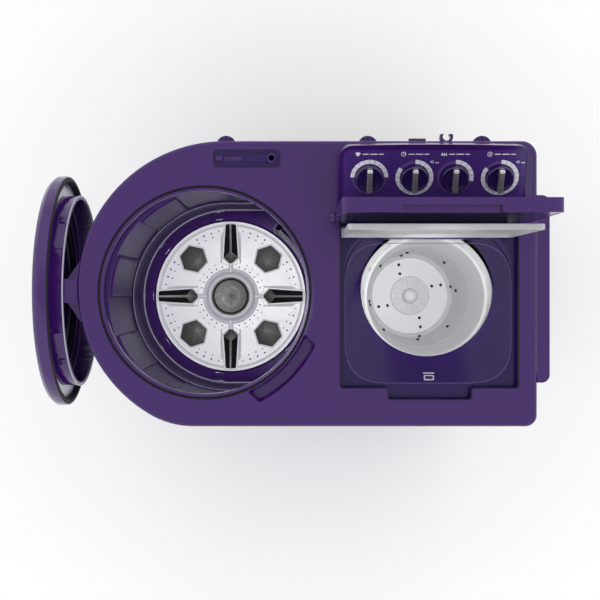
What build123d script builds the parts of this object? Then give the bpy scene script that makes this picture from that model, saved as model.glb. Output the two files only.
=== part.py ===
from build123d import *
import os
from math import cos, radians, sin, tan

# Twin-tub washing machine. Millimetres, +Z up, front of the machine towards -Y.
# The origin is on the floor, under the middle of the whole machine with its lids open.

# Plan of the machine
PLATE_TOP = 870.0
PLATE_RIGHT = 430.0
PLATE_FRONT = -255.0
BOW_X, BOW_Y, BOW_R = -114.0, -14.0, 256.0
PLATE_BACK = BOW_Y + BOW_R
FRONT_LEFT_BLEND = 150.0
FRONT_RIGHT_R = 20.0
BACK_RIGHT_R = 26.0
PLATE_WALL = 4.0
SKIRT_DROP = 32.0
CABINET_INSET = 4.5
CABINET_WALL = 3.0
BASE_TOP = 110.0
FOOT_HEIGHT = 20.0

# Wash side
WASH_X, WASH_Y = -148.4, -21.7
COLLAR_R = 177.5
SEAT_R = 186.5
SEAT_DEPTH = 8.0
COLLAR_OUT_R = 190.0
FINGER_R0, FINGER_R1 = 187.5, 214.0
FINGER_TURN, FINGER_HALF = -44.5, 71.0
FINGER_DEPTH = 15.0
TUB_X, TUB_Y = -125.5, -31.0
TUB_R, TUB_RIGHT = 196.0, 67.0
TUB_LOWER_R, TUB_LOWER_RIGHT = 183.0, 57.0
TUB_CORNER = 60.0
TUB_WALL = 3.0
TUB_TOP = 837.0
TUB_LEDGE = 603.0
TUB_FLOOR = 477.0
PULSATOR_R = 154.0
PULSATOR_Z = 490.0
FILTER_R0, FILTER_R1 = 160.0, 164.0
FILTER_FROM, FILTER_TO = 14.0, 52.0
FILTER_Z0, FILTER_Z1 = 500.0, 740.0

# Spin side
SPIN_X, SPIN_Y = 242.5, -30.0
WELL_X0, WELL_X1 = 86.4, 398.6
WELL_Y0, WELL_Y1 = -189.0, 108.0
WELL_DEPTH = 21.5
TAB_X0, TAB_X1, TAB_Y0 = 169.0, 317.0, -209.0
MOUTH_R = 117.0
MOUTH_Y = -18.0
MOUTH_BACK_Y = 72.0
MOUTH_Z = 825.0
BASKET_FLOOR = 514.0
BASKET_TOP = 812.0
BASKET_FLOOR_R = 80.0
BASKET_TOP_R = 106.0
SPIN_SHAFT_R = 8.0
RUNNING_GAP = 0.05
APART = 0.4

# Spin lids, drawn standing open
LID_X0, LID_X1 = 78.5, 405.5
LID_THICK = 22.0
LID_HINGE_Y, LID_HINGE_Z = 108.0, 882.0
LID_REACH = 302.0
INNER_X0, INNER_X1 = 89.5, 387.0
INNER_HINGE_Y, INNER_HINGE_Z = 88.0, 863.0
INNER_FRONT_Y, INNER_BACK_Y = 74.0, 83.0
INNER_REACH = 275.0

# Control panel
PANEL_FRONT_Y = 122.0
PANEL_FRONT_RISE = 37.0
PANEL_BASE = {"left": 80.5, "right": 418.0, "back": 236.5, "radius": 24.0}
PANEL_CROWN = {"left": 82.0, "right": 401.5, "back": 218.5, "radius": 24.0}
PANEL_CROWN_RISE = 110.0
PANEL_BOW = 2.5
PANEL_WALL = 3.0
FASCIA_TILT = 29.0
FASCIA_X0, FASCIA_X1 = 89.0, 396.0
KNOB_XS = {"fabric": 134.0, "wash_timer": 210.0, "drain": 277.6, "dry_timer": 353.7}
KNOB_Y = 171.5
KNOB_R = 23.4
SCALE_R0, SCALE_R1 = 24.8, 31.8

# Wash lid, drawn hanging on its hook beside the round end
HUNG_Y, HUNG_Z = -19.0, 696.0
LID_RIM_R = 215.0
LID_DOME_X, LID_BACK_X, LID_FLANGE_X, LID_TIP_X = -452.5, -441.5, -415.5, -393.5
LID_WINDOW_R = 165.0
LID_RING_R0, LID_RING_R1 = 173.0, 178.0
LID_BACKING_DROP = 9.5

# Fittings on the back edge
CLIP_X, CLIP_R = 273.5, 6.6
SPACER_XS = (-111.5, 135.9, 335.4)
SPACER_R = 17.4

# Drive
MOTOR_X, MOTOR_Y = -235.0, -120.0
PULLEY_Z0, PULLEY_Z1 = 296.0, 312.0
GEARBOX_PULLEY_R, MOTOR_PULLEY_R = 50.0, 25.0
BELT_THICK = 5.0
VALVE_X, VALVE_Y = 92.0, -60.0
OUTLET_Z = 80.0
GLAND_X, GLAND_Z = 330.0, 140.0


def block(x0, x1, y0, y1, z0, z1):
    """A box between two opposite corners."""
    centre = Pos((x0 + x1) / 2, (y0 + y1) / 2, (z0 + z1) / 2)
    return centre * Box(x1 - x0, y1 - y0, z1 - z0)


def post(x, y, z0, z1, radius):
    """An upright cylinder."""
    return Pos(x, y, (z0 + z1) / 2) * Cylinder(radius, z1 - z0)


def pipe(x, y, z0, z1, outer, inner):
    """An upright tube."""
    return post(x, y, z0, z1, outer) - post(x, y, z0 - 1, z1 + 1, inner)


def rod_x(x0, x1, y, z, radius):
    """A cylinder along X."""
    return Pos((x0 + x1) / 2, y, z) * Rot(0, 90, 0) * Cylinder(radius, x1 - x0)


def rod_y(x, y0, y1, z, radius):
    """A cylinder along Y."""
    return Pos(x, (y0 + y1) / 2, z) * Rot(90, 0, 0) * Cylinder(radius, y1 - y0)


def slab(plan, z0, z1):
    """A plan raised from one height to another."""
    return Pos(0, 0, z0) * extrude(plan, z1 - z0)


def rounded(x0, x1, y0, y1, radius):
    """A rounded rectangle between two corners."""
    return Pos((x0 + x1) / 2, (y0 + y1) / 2) * RectangleRounded(x1 - x0, y1 - y0, radius)


def corner_fillet(plan, x, y, radius):
    """Round the corner of a plan that is nearest to a point."""
    nearest = plan.vertices().sort_by_distance((x, y, 0))[0]
    return fillet([nearest], radius)


def footprint(inset):
    """Plan of the machine: a round left end, straight front and back, a square right end."""
    right, front = PLATE_RIGHT - inset, PLATE_FRONT + inset
    radius = BOW_R - inset
    bow = Pos(BOW_X, BOW_Y) * Circle(radius)
    hall = Pos((BOW_X + right) / 2, (front + BOW_Y + radius) / 2)
    hall = hall * Rectangle(right - BOW_X, BOW_Y + radius - front)
    keep = Pos(0, front + 500) * Rectangle(2000, 1000)
    plan = (bow + hall) & keep
    meet_x = BOW_X - (radius**2 - (BOW_Y - front) ** 2) ** 0.5
    plan = corner_fillet(plan, meet_x, front, FRONT_LEFT_BLEND - inset)
    plan = corner_fillet(plan, right, front, FRONT_RIGHT_R - inset)
    return corner_fillet(plan, right, BOW_Y + radius, BACK_RIGHT_R - inset)


def tub_plan(radius, right):
    """Plan of the wash tub: a half circle with straight sides to a rounded right end."""
    bow = Pos(TUB_X, TUB_Y) * Circle(radius)
    hall = Pos((TUB_X + right) / 2, TUB_Y) * Rectangle(right - TUB_X, 2 * radius)
    plan = bow + hall
    plan = corner_fillet(plan, right, TUB_Y + radius, TUB_CORNER)
    return corner_fillet(plan, right, TUB_Y - radius, TUB_CORNER)


def sector(x, y, r0, r1, start, end):
    """A band of a ring between two angles."""
    ring = Pos(x, y) * (Circle(r1) - Circle(r0))
    reach = 2 * r1
    steps = 6
    points = [(x, y)]
    for step in range(steps + 1):
        angle = radians(start + (end - start) * step / steps)
        points.append((x + reach * cos(angle), y + reach * sin(angle)))
    return ring & make_face(Polyline(*points, close=True))


def base_frame():
    """Moulded base tray with a ribbed floor."""
    tray = slab(footprint(CABINET_INSET + CABINET_WALL + APART), FOOT_HEIGHT, BASE_TOP)
    hollow = slab(footprint(CABINET_INSET + CABINET_WALL + 5), FOOT_HEIGHT + 5, BASE_TOP + 1)
    tray = tray - hollow
    for x in (-200, -60, 80, 380):
        tray = tray + block(x - 2, x + 2, -225, 205, FOOT_HEIGHT + 4, FOOT_HEIGHT + 22)
    return tray - rod_y(VALVE_X, 200, 260, OUTLET_Z, 17)


FOOT_PLACES = [(-220, -150), (-220, 130), (370, -190), (370, 170)]


def feet():
    """Four rubber feet under the tray."""
    return [post(x, y, 0, FOOT_HEIGHT, 26) for x, y in FOOT_PLACES]


def cabinet_shell():
    """Outer skin of the body, open at the back for service."""
    skin = slab(footprint(CABINET_INSET), 24, PLATE_TOP - PLATE_WALL - 2)
    skin = skin - slab(footprint(CABINET_INSET + CABINET_WALL), 23, PLATE_TOP)
    window = block(-90, 380, PLATE_BACK - 40, PLATE_BACK, 60, 780)
    return skin - window


def back_cover():
    """Rear service cover with louvres and a hole for the outlet and the cord gland."""
    y1 = PLATE_BACK - CABINET_INSET
    cover = block(-89.5, 379.5, y1 - 3, y1, 60.5, 779.5)
    for x in (60, 230):
        for row in range(6):
            z = 150 + row * 18
            cover = cover - block(x - 55, x + 55, y1 - 10, y1 + 5, z, z + 5)
    cover = cover - rod_y(VALVE_X, 200, 260, OUTLET_Z, 17)
    return cover - rod_y(GLAND_X, 200, 260, GLAND_Z, 8)


def back_cover_screws():
    """Pan-head screws along the two sides of the service cover."""
    y1 = PLATE_BACK - CABINET_INSET
    screws = []
    for x in (-80, 370):
        for z in (80, 420, 760):
            head = rod_y(x, y1, y1 + 2.5, z, 5)
            screws.append(head)
    return screws


def finger_plan(grow):
    """Plan of the finger recess: an arc band beside the wash opening with parallel ends."""
    r0, r1, half = FINGER_R0 - min(grow, 0), FINGER_R1 + grow, FINGER_HALF + grow
    inner, outer = (r0**2 - half**2) ** 0.5, (r1**2 - half**2) ** 0.5
    near = ThreePointArc((inner, half), (r0, 0), (inner, -half))
    far = ThreePointArc((outer, -half), (r1, 0), (outer, half))
    plan = make_face(near + Line((inner, -half), (outer, -half)) + far + Line((outer, half), (inner, half)))
    corners = plan.vertices().sort_by(Axis.X)
    plan = fillet(corners[:2], 3)
    outer_corners = [v for v in plan.vertices() if abs(abs(v.Y) - half) < 0.01 and abs(v.X - outer) < 0.01]
    plan = fillet(outer_corners, 7)
    return Pos(WASH_X, WASH_Y) * Rot(0, 0, FINGER_TURN) * plan


def top_frame():
    """Top moulding: skirt, wash opening with its seat, finger recess and spin opening."""
    body = slab(footprint(0), PLATE_TOP - SKIRT_DROP, PLATE_TOP)
    rim = body.faces().sort_by(Axis.Z)[-1].edges()
    body = fillet(rim, 5)
    hollow = slab(footprint(PLATE_WALL), PLATE_TOP - SKIRT_DROP - 1, PLATE_TOP - PLATE_WALL)
    body = body - hollow
    under = PLATE_TOP - PLATE_WALL
    body = body + post(WASH_X, WASH_Y, PLATE_TOP - SKIRT_DROP, under, COLLAR_OUT_R)
    body = body + slab(finger_plan(4), PLATE_TOP - FINGER_DEPTH - 3, under)
    body = body - post(WASH_X, WASH_Y, 700, PLATE_TOP + 1, COLLAR_R)
    body = body - post(WASH_X, WASH_Y, PLATE_TOP - SEAT_DEPTH, PLATE_TOP + 1, SEAT_R)
    body = body + pipe(WASH_X, WASH_Y, PLATE_TOP - SEAT_DEPTH - 1, PLATE_TOP - 1.5, COLLAR_R + 4.5, COLLAR_R)
    floor = Pos(0, 0, PLATE_TOP - FINGER_DEPTH) * finger_plan(-5)
    body = body - loft([floor, Pos(0, 0, PLATE_TOP + 1) * finger_plan(0)])
    hole = rounded(WELL_X0, WELL_X1, WELL_Y0, WELL_Y1, 6) + rounded(TAB_X0, TAB_X1, TAB_Y0, -150, 6)
    body = body - slab(hole, 800, PLATE_TOP + 1)
    bezel = rounded(-133.5, -16.5, 195.5, 226.5, 7)
    body = body - slab(bezel, PLATE_TOP - 2.5, PLATE_TOP + 1)
    body = body - block(-119, -80, 207, 216, 800, PLATE_TOP)
    body = body - post(-32, 212, 800, PLATE_TOP, 9)
    body = body + hinge_lug(LID_X0 - 8.4, LID_X0 - APART)
    body = body + hinge_lug(LID_X1 + APART, LID_X1 + 8.4)
    return body


def hinge_lug(x0, x1):
    """Upright ear that carries one end of the spin lid's hinge."""
    ear = rod_x(x0, x1, LID_HINGE_Y, LID_HINGE_Z, 9)
    ear = ear + block(x0, x1, LID_HINGE_Y - 9, LID_HINGE_Y + 9, PLATE_TOP - 1, LID_HINGE_Z)
    return ear - rod_x(x0 - 1, x1 + 1, LID_HINGE_Y, LID_HINGE_Z, 3)


def duct_cheek(start, end):
    """Upright wall of the overflow duct, from the lint filter back to the tub's wall."""
    cheek = sector(TUB_X, TUB_Y, FILTER_R0 - 2, TUB_R + 60, start, end)
    lower_plan = tub_plan(TUB_LOWER_R + 1, TUB_LOWER_RIGHT + 1)
    low = slab(cheek, TUB_FLOOR, TUB_LEDGE) & slab(lower_plan, TUB_FLOOR, TUB_LEDGE)
    upper_plan = tub_plan(TUB_R + 1, TUB_RIGHT + 1)
    high = slab(cheek, TUB_LEDGE - 1, FILTER_Z1) & slab(upper_plan, TUB_LEDGE - 1, FILTER_Z1)
    return low + high


def wash_tub():
    """Wash tub: wide upper wall, a ledge, a narrower lower wall, a floor and the duct's cheeks."""
    outer = slab(tub_plan(TUB_R + TUB_WALL, TUB_RIGHT + TUB_WALL), TUB_LEDGE - TUB_WALL, TUB_TOP)
    flange = slab(tub_plan(TUB_R + 10, TUB_RIGHT + 10), TUB_TOP - 3, TUB_TOP)
    lower_plan = tub_plan(TUB_LOWER_R + TUB_WALL, TUB_LOWER_RIGHT + TUB_WALL)
    lower = slab(lower_plan, TUB_FLOOR - TUB_WALL, TUB_LEDGE)
    tub = outer + flange + lower
    tub = tub - slab(tub_plan(TUB_R, TUB_RIGHT), TUB_LEDGE, TUB_TOP + 1)
    tub = tub - slab(tub_plan(TUB_LOWER_R, TUB_LOWER_RIGHT), TUB_FLOOR, TUB_LEDGE + 1)
    tub = tub + duct_cheek(FILTER_FROM - 2.5, FILTER_FROM - 0.5)
    tub = tub + duct_cheek(FILTER_TO + 0.5, FILTER_TO + 2.5)
    tub = tub - post(TUB_X, TUB_Y, 400, 500, 24)
    return tub - post(35, VALVE_Y, 400, 500, 14)


def lint_filter():
    """Curved lattice cover that slides down in front of the overflow duct in the tub's right corner."""
    panel = slab(sector(TUB_X, TUB_Y, FILTER_R0, FILTER_R1, FILTER_FROM, FILTER_TO), FILTER_Z0, FILTER_Z1)
    middle = (FILTER_R0 + FILTER_R1) / 2
    slots = None
    for index in range(7):
        angle = FILTER_FROM + 4 + index * 5
        cut = Rot(0, 0, angle) * Box(20, 9, FILTER_Z1 - FILTER_Z0 - 40)
        cut = Pos(TUB_X + middle * cos(radians(angle)), TUB_Y + middle * sin(radians(angle)), 620) * cut
        slots = cut if slots is None else slots + cut
    grille = panel - slots
    for step in range(11):
        low = FILTER_Z0 + 15 + step * 20
        grille = grille + (panel & block(-50, 80, -20, 160, low, low + 4))
    return grille


def wash_lid_hook():
    """Bracket under the plate's round end that the wash lid hangs on."""
    left = BOW_X - BOW_R
    arm = block(left - 36, left + 3.5, HUNG_Y - 21, HUNG_Y + 21, 844, HUNG_Z + LID_RING_R0 - 1.8)
    wing = make_face(Polyline((left + 3.4, HUNG_Y - 54), (left + 3.4, HUNG_Y + 54), (left - 19, HUNG_Y + 22),
                              (left - 19, HUNG_Y - 22), close=True))
    arm = arm + slab(wing, 846, 856)
    return arm - slab(footprint(-APART), PLATE_TOP - SKIRT_DROP - 1, PLATE_TOP + 1)


def inlet_bezel():
    """Shallow plate around the inlet selector's slot and the water inlet."""
    plate = slab(rounded(-133, -17, 196, 226, 6.5), PLATE_TOP - 2.5, PLATE_TOP - 0.5)
    plate = plate - slab(rounded(-130, -81.5, 206.5, 216.5, 2), PLATE_TOP - 3, PLATE_TOP)
    return plate - post(-32, 212, PLATE_TOP - 4, PLATE_TOP, 8.8)


def inlet_slider():
    """Thumb piece that sends the water to the wash tub or the spin tub."""
    thumb = slab(rounded(-129, -117, 207, 216, 1.5), PLATE_TOP - 2, PLATE_TOP + 3)
    return thumb


def water_inlet():
    """Nozzle that takes the filling hose."""
    nozzle = pipe(-32, 212, PLATE_TOP - 30, PLATE_TOP + 2, 8.7, 5)
    return nozzle


def back_spacers():
    """Round ears on the back edge that keep the machine off the wall, each with three screw holes."""
    ears = []
    for x in SPACER_XS:
        ear = slab(Pos(x, PLATE_BACK + 10 - SPACER_R) * Circle(SPACER_R), PLATE_TOP - 30, PLATE_TOP - 10)
        ear = ear - slab(footprint(-0.2), 800, PLATE_TOP + 1)
        for shift, radius in ((-7.5, 1.3), (0, 2.0), (7.5, 1.3)):
            ear = ear - post(x + shift, PLATE_BACK + 4, PLATE_TOP - 18, PLATE_TOP, radius)
        ears.append(ear)
    return ears


def back_tab():
    """Small rectangular catch on the back edge."""
    return block(207.5, 237, PLATE_BACK + 0.2, PLATE_BACK + 5, PLATE_TOP - 24, PLATE_TOP - 8)


def hose_clip():
    """Open C clip on the back edge that holds the drain hose when it is put away."""
    x, y = CLIP_X, PLATE_BACK + 8.2
    ring = Pos(x, y) * (Circle(11.5) - Circle(CLIP_R))
    ring = ring & (Pos(x, PLATE_BACK + 6.6) * Rectangle(40, 12.8))
    return slab(ring, PLATE_TOP - 26, PLATE_TOP - 8)


def side_grip():
    """Long moulded grip on the right side wall."""
    x0 = PLATE_RIGHT + 0.8
    x1 = PLATE_RIGHT + 22.5
    outer = slab(rounded(x0 - 30, x1, -179, 148, 14), PLATE_TOP - 72, PLATE_TOP - 4)
    outer = outer & block(x0, x1 + 5, -300, 300, 700, PLATE_TOP)
    return outer - block(x0 - 1, x1 - 4, -167, 136, PLATE_TOP - 90, PLATE_TOP - 8)


def funnel_blank(grow):
    """The space inside the funnel, grown by a wall thickness."""
    top = rounded(96.5 - grow, 388.5 + grow, -181 - grow, 83 + grow, 57 + grow)
    mouth = Pos(SPIN_X, MOUTH_Y) * Circle(MOUTH_R + grow)
    ledge = PLATE_TOP - WELL_DEPTH
    return loft([Pos(0, 0, ledge) * top, Pos(0, 0, MOUTH_Z) * mouth])


def spin_well():
    """Recess under the spin lid with its ledge, its funnel and the round mouth over the basket."""
    ledge = PLATE_TOP - WELL_DEPTH
    outer = rounded(WELL_X0 - 2.4, WELL_X1 + 2.4, WELL_Y0 - 2.4, WELL_Y1 + 2.4, 8)
    outer = outer + rounded(TAB_X0 - 2.4, TAB_X1 + 2.4, TAB_Y0 - 2.4, -150, 8)
    inner = rounded(WELL_X0, WELL_X1, WELL_Y0, WELL_Y1, 6) + rounded(TAB_X0, TAB_X1, TAB_Y0, -150, 6)
    tray = slab(outer, ledge - 2.5, PLATE_TOP - PLATE_WALL) - slab(inner, ledge, PLATE_TOP)
    shape = tray + funnel_blank(2.5) - funnel_blank(0)
    shape = shape - post(SPIN_X, MOUTH_Y, MOUTH_Z - 5, MOUTH_Z + 3, MOUTH_R)
    sill = block(150, 335, MOUTH_BACK_Y, 100, MOUTH_Z, ledge) & funnel_blank(1)
    shape = shape + sill
    shape = shape - rod_x(WELL_X0 - 5, WELL_X0 + 1, INNER_HINGE_Y, INNER_HINGE_Z, 2.5)
    return shape - rod_x(WELL_X1 - 1, WELL_X1 + 5, INNER_HINGE_Y, INNER_HINGE_Z, 2.5)


def spin_outer_tub():
    """Still tub around the spin basket that catches the water."""
    tub = post(SPIN_X, SPIN_Y, 484, MOUTH_Z - 0.5, 128) - post(SPIN_X, SPIN_Y, 487, MOUTH_Z + 1, 125)
    tub = tub - post(SPIN_X, SPIN_Y, 480, 490, 20)
    return tub


def spin_bellows():
    """Rubber seal between the still tub's floor and the spinning shaft."""
    profile = Polyline((SPIN_SHAFT_R + RUNNING_GAP, 452), (14, 452), (19, 462), (14, 472), (19.8, 480),
                       (19.8, 486.5), (SPIN_SHAFT_R + RUNNING_GAP, 486.5), close=True)
    section = make_face(Plane.XZ * profile)
    return Pos(SPIN_X, SPIN_Y, 0) * revolve(section, Axis.Z)


def basket_section():
    """Half section of the basket: floor, tapered wall and rolled rim."""
    floor, top, wall = BASKET_FLOOR, BASKET_TOP, 3.0
    points = [
        (0, floor - 4),
        (BASKET_FLOOR_R, floor - 4),
        (BASKET_FLOOR_R + 8, floor + 8),
        (BASKET_TOP_R + wall, top - 14),
        (MOUTH_R + 3, top - 8),
        (MOUTH_R + 3, top),
        (BASKET_TOP_R, top),
        (BASKET_TOP_R - 1, top - 12),
        (BASKET_FLOOR_R + 5, floor + 10),
        (BASKET_FLOOR_R - 3, floor),
        (0, floor),
    ]
    return make_face(Plane.XZ * Polyline(*points, close=True))


FLOOR_HOLES = ((49.5, 113.8), (67.3, 109.3), (82.0, 102.7))
WALL_HOLES = ((572.0, 97.0), (600.0, 48.0), (668.0, 70.0), (730.0, 83.0))
BASKET_HOLE_R = 3.1


def spin_basket():
    """Tapered basket with spiral rows of holes in its floor and staggered holes in its wall."""
    basket = Pos(SPIN_X, SPIN_Y, 0) * revolve(basket_section(), Axis.Z)
    basket = basket - post(SPIN_X, SPIN_Y, 500, 520, SPIN_SHAFT_R)
    drills = []
    for quarter in range(4):
        for radius, angle in FLOOR_HOLES:
            turn = radians(angle + quarter * 90)
            x, y = SPIN_X + radius * cos(turn), SPIN_Y + radius * sin(turn)
            drills.append(post(x, y, BASKET_FLOOR - 14, BASKET_FLOOR + 16, BASKET_HOLE_R))
        for z, angle in WALL_HOLES:
            drill = Rot(0, 90, 0) * Cylinder(BASKET_HOLE_R, 40)
            drill = Rot(0, 0, angle + quarter * 90) * Pos(95, 0, 0) * drill
            drills.append(Pos(SPIN_X, SPIN_Y, z) * drill)
    for drill in drills:
        basket = basket - drill
    return basket


def spin_shaft():
    """Shaft from the spin motor to the basket, with its brake drum and clamping nut."""
    shaft = post(SPIN_X, SPIN_Y, 292.5, BASKET_FLOOR + 8, SPIN_SHAFT_R)
    drum = post(SPIN_X, SPIN_Y, 360, 382, 52)
    nut = post(SPIN_X, SPIN_Y, BASKET_FLOOR, BASKET_FLOOR + 10, 13)
    return shaft + drum + nut


def spin_motor():
    """Spin motor hanging under the shaft on its three arms."""
    motor = post(SPIN_X, SPIN_Y, 160, 285, 68) + post(SPIN_X, SPIN_Y, 280, 292, 30)
    for turn in range(3):
        arm = Pos(SPIN_X, SPIN_Y, 0) * Rot(0, 0, 90 + turn * 120) * block(60, 108, -14, 14, 152, 160)
        motor = motor + arm
    return motor


def spring_centres():
    """Places of the spin motor's three springs."""
    return [(SPIN_X + 94 * cos(radians(90 + turn * 120)), SPIN_Y + 94 * sin(radians(90 + turn * 120)))
            for turn in range(3)]


def spin_motor_springs():
    """Three coil springs that let the spin motor sway, each a wound wire."""
    springs = []
    for x, y in spring_centres():
        path = Helix(pitch=14, height=87.4, radius=15, center=(x, y, 62))
        wire = sweep(Plane(path @ 0, z_dir=path % 0) * Circle(2.2), path=path)
        springs.append(wire)
    return springs


def spring_seats():
    """Cups on the tray that hold the springs' lower ends."""
    seats = []
    for x, y in spring_centres():
        cup = post(x, y, FOOT_HEIGHT + 5, 59.5, 22)
        seats.append(cup + post(x, y, 59, 75, 11))
    return seats


def brake_lever():
    """Brake shoe on its lever beside the drum."""
    lever = block(SPIN_X - 64, SPIN_X + 62, SPIN_Y - 66, SPIN_Y - 59, 364, 378)
    shoe = Pos(SPIN_X, SPIN_Y) * (Circle(60) - Circle(52.5))
    shoe = shoe & (Pos(SPIN_X, SPIN_Y - 55) * Rectangle(50, 24))
    lever = lever + slab(shoe, 364, 378)
    return lever - post(SPIN_X - 58, SPIN_Y - 62.5, 350, 390, 2.5 + RUNNING_GAP)


def brake_pivot():
    """Pin and bracket that carry the brake lever."""
    pin = post(SPIN_X - 58, SPIN_Y - 62.5, 350, 385, 2.5)
    arm = block(SPIN_X - 64, SPIN_X - 52, SPIN_Y - 70, SPIN_Y - 55, 345, 352)
    strut = block(SPIN_X - 64, SPIN_X - 52, SPIN_Y - 80, SPIN_Y - 70, 345, 484)
    foot = block(SPIN_X - 64, SPIN_X - 40, SPIN_Y - 85, SPIN_Y - 70, 481, 484)
    return pin + arm + strut + foot


def gearbox_bracket():
    """Steel plate under the wash tub that carries the gearbox and the wash motor."""
    plate = slab(rounded(-300, -20, -160, 60, 20), 458, 462)
    for x, y in ((-250, -30), (-60, -120), (-60, 30), (-200, 40)):
        plate = plate + post(x, y, 461, TUB_FLOOR - TUB_WALL, 8)
    plate = plate - post(TUB_X, TUB_Y, 450, 470, 14)
    return plate


def gearbox_housing():
    """Cast reduction gearbox under the pulsator."""
    housing = post(TUB_X, TUB_Y, 330, 458, 62) - post(TUB_X, TUB_Y, 392, 459, 10 + RUNNING_GAP)
    housing = fillet(housing.faces().sort_by(Axis.Z)[0].edges(), 8)
    return housing - post(TUB_X, TUB_Y, 320, 388, 8 + RUNNING_GAP)


def pulsator_seal():
    """Water seal around the pulsator's shaft in the tub floor."""
    return pipe(TUB_X, TUB_Y, TUB_FLOOR - 12, TUB_FLOOR + 6, 24, 10 + RUNNING_GAP)


def pulsator_shaft():
    """Output shaft of the gearbox."""
    return post(TUB_X, TUB_Y, 394, PULSATOR_Z + 6, 10)


def gearbox_pulley():
    """Driven pulley on the gearbox's input shaft."""
    wheel = post(TUB_X, TUB_Y, PULLEY_Z0, PULLEY_Z1, GEARBOX_PULLEY_R)
    return wheel + post(TUB_X, TUB_Y, PULLEY_Z0 - 8, 386, 8)


def motor_pulley():
    """Small pulley on the wash motor's shaft."""
    wheel = post(MOTOR_X, MOTOR_Y, PULLEY_Z0, PULLEY_Z1, MOTOR_PULLEY_R)
    return wheel + post(MOTOR_X, MOTOR_Y, PULLEY_Z0 - 8, 342, 7)


def wash_motor():
    """Wash motor beside the gearbox, its shaft downwards."""
    motor = post(MOTOR_X, MOTOR_Y, 340, 458, 60)
    motor = motor + post(MOTOR_X, MOTOR_Y, 330, 341, 24)
    return motor - post(MOTOR_X, MOTOR_Y, 320, 350, 7 + RUNNING_GAP)


def belt_loop(gap):
    """Plan of a belt around the two pulleys at a distance from them."""
    big = Pos(TUB_X, TUB_Y) * Circle(GEARBOX_PULLEY_R + gap)
    small = Pos(MOTOR_X, MOTOR_Y) * Circle(MOTOR_PULLEY_R + gap)
    return make_hull([*big.edges(), *small.edges()])


def drive_belt():
    """Belt around the motor pulley and the gearbox pulley."""
    band = belt_loop(APART + BELT_THICK) - belt_loop(APART)
    return slab(band, PULLEY_Z0 + 3, PULLEY_Z1 - 3)


def pulsator_disc():
    """Pulsator plate: shallow dish with a raised rim, a hub and rows of small holes."""
    z = PULSATOR_Z
    outline = Polyline((0, z), (PULSATOR_R - 4, z), (PULSATOR_R, z + 4), (PULSATOR_R, z + 9),
                       (PULSATOR_R - 5, z + 9), (PULSATOR_R - 9, z + 6), (47, z + 6), (45, z + 12),
                       (40, z + 12), (0, z + 12), close=True)
    disc = Pos(TUB_X, TUB_Y, 0) * revolve(make_face(Plane.XZ * outline), Axis.Z)
    disc = disc - post(TUB_X, TUB_Y, z - 1, z + 6, 10.01)
    rows = (
        (0.882, 1.9, (10.2, 17.2, 24.3, 31.1, 58.9, 65.8, 72.8, 79.8)),
        (0.822, 1.4, (10.2, 17.2, 24.3, 31.1, 58.9, 65.8, 72.8, 79.8)),
        (0.466, 1.2, (16.3, 27.6, 39.0, 51.0, 62.4, 73.7)),
        (0.407, 1.6, (16.3, 27.6, 39.0, 51.0, 62.4, 73.7)),
    )
    holes = []
    for share, radius, angles in rows:
        for quarter in range(4):
            for angle in angles:
                turn = radians(angle + 90 * quarter)
                place = Pos(TUB_X + PULSATOR_R * share * cos(turn), TUB_Y + PULSATOR_R * share * sin(turn))
                holes.append(place * Circle(radius))
    drills = slab(Sketch() + holes, z - 2, z + 20)
    return disc - drills


def pulsator_blades():
    """Four pointed blades and four six-sided bosses that move the water."""
    z = PULSATOR_Z + 6
    r = PULSATOR_R
    tip = 0.975 * r - 9
    blade = make_face(Polyline((0.44 * r, 0), (0.52 * r, -0.087 * r), (tip, -0.063 * r), (tip, 0.063 * r),
                               (0.52 * r, 0.087 * r), close=True))
    blade = extrude(blade, 20, taper=12)
    boss = extrude(Rot(0, 0, 33) * RegularPolygon(0.186 * r, 6), 10, taper=15)
    pieces = []
    for quarter in range(4):
        centre = Pos(TUB_X, TUB_Y, z) * Rot(0, 0, 90 * quarter)
        pieces.append(centre * blade)
        pieces.append(centre * Rot(0, 0, 45) * Pos(0.707 * r, 0, 0) * boss)
    return pieces


def pulsator_cap():
    """Round cap over the pulsator's fixing screw."""
    z = PULSATOR_Z + 12
    outline = Polyline((0, z), (40, z), (40, z + 5), (34, z + 8), (24, z + 8), (20, z + 14),
                       (0, z + 17), close=True)
    return Pos(TUB_X, TUB_Y, 0) * revolve(make_face(Plane.XZ * outline), Axis.Z)


def lid_face(points):
    """A section of the hung wash lid, as (radius, X) points, turned about its own axis."""
    outline = Polyline(*[(x, radius) for radius, x in points], close=True)
    turned = revolve(make_face(outline), Axis.X)
    return Pos(0, HUNG_Y, HUNG_Z) * turned


def wash_lid_rim():
    """Round outer shell of the wash lid, open in the middle for the window."""
    r, back, flange, window = LID_RIM_R, LID_BACK_X, LID_FLANGE_X, LID_WINDOW_R
    points = [
        (window, back),
        (r - 8, back),
        (r, back + 9),
        (r, flange),
        (r - 4, flange),
        (r - 4, back + 10),
        (r - 9, back + 4),
        (window, back + 4),
    ]
    return lid_face(points)


def wash_lid_window():
    """Domed smoked window."""
    dome, back, r = LID_DOME_X, LID_BACK_X, LID_WINDOW_R
    points = [
        (0, dome),
        (r * 0.5, dome + 2),
        (r * 0.85, dome + 6),
        (r - 0.1, back),
        (r - 0.1, back + 4),
        (r * 0.85, dome + 10),
        (r * 0.5, dome + 6),
        (0, dome + 4),
    ]
    return lid_face(points)


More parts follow.
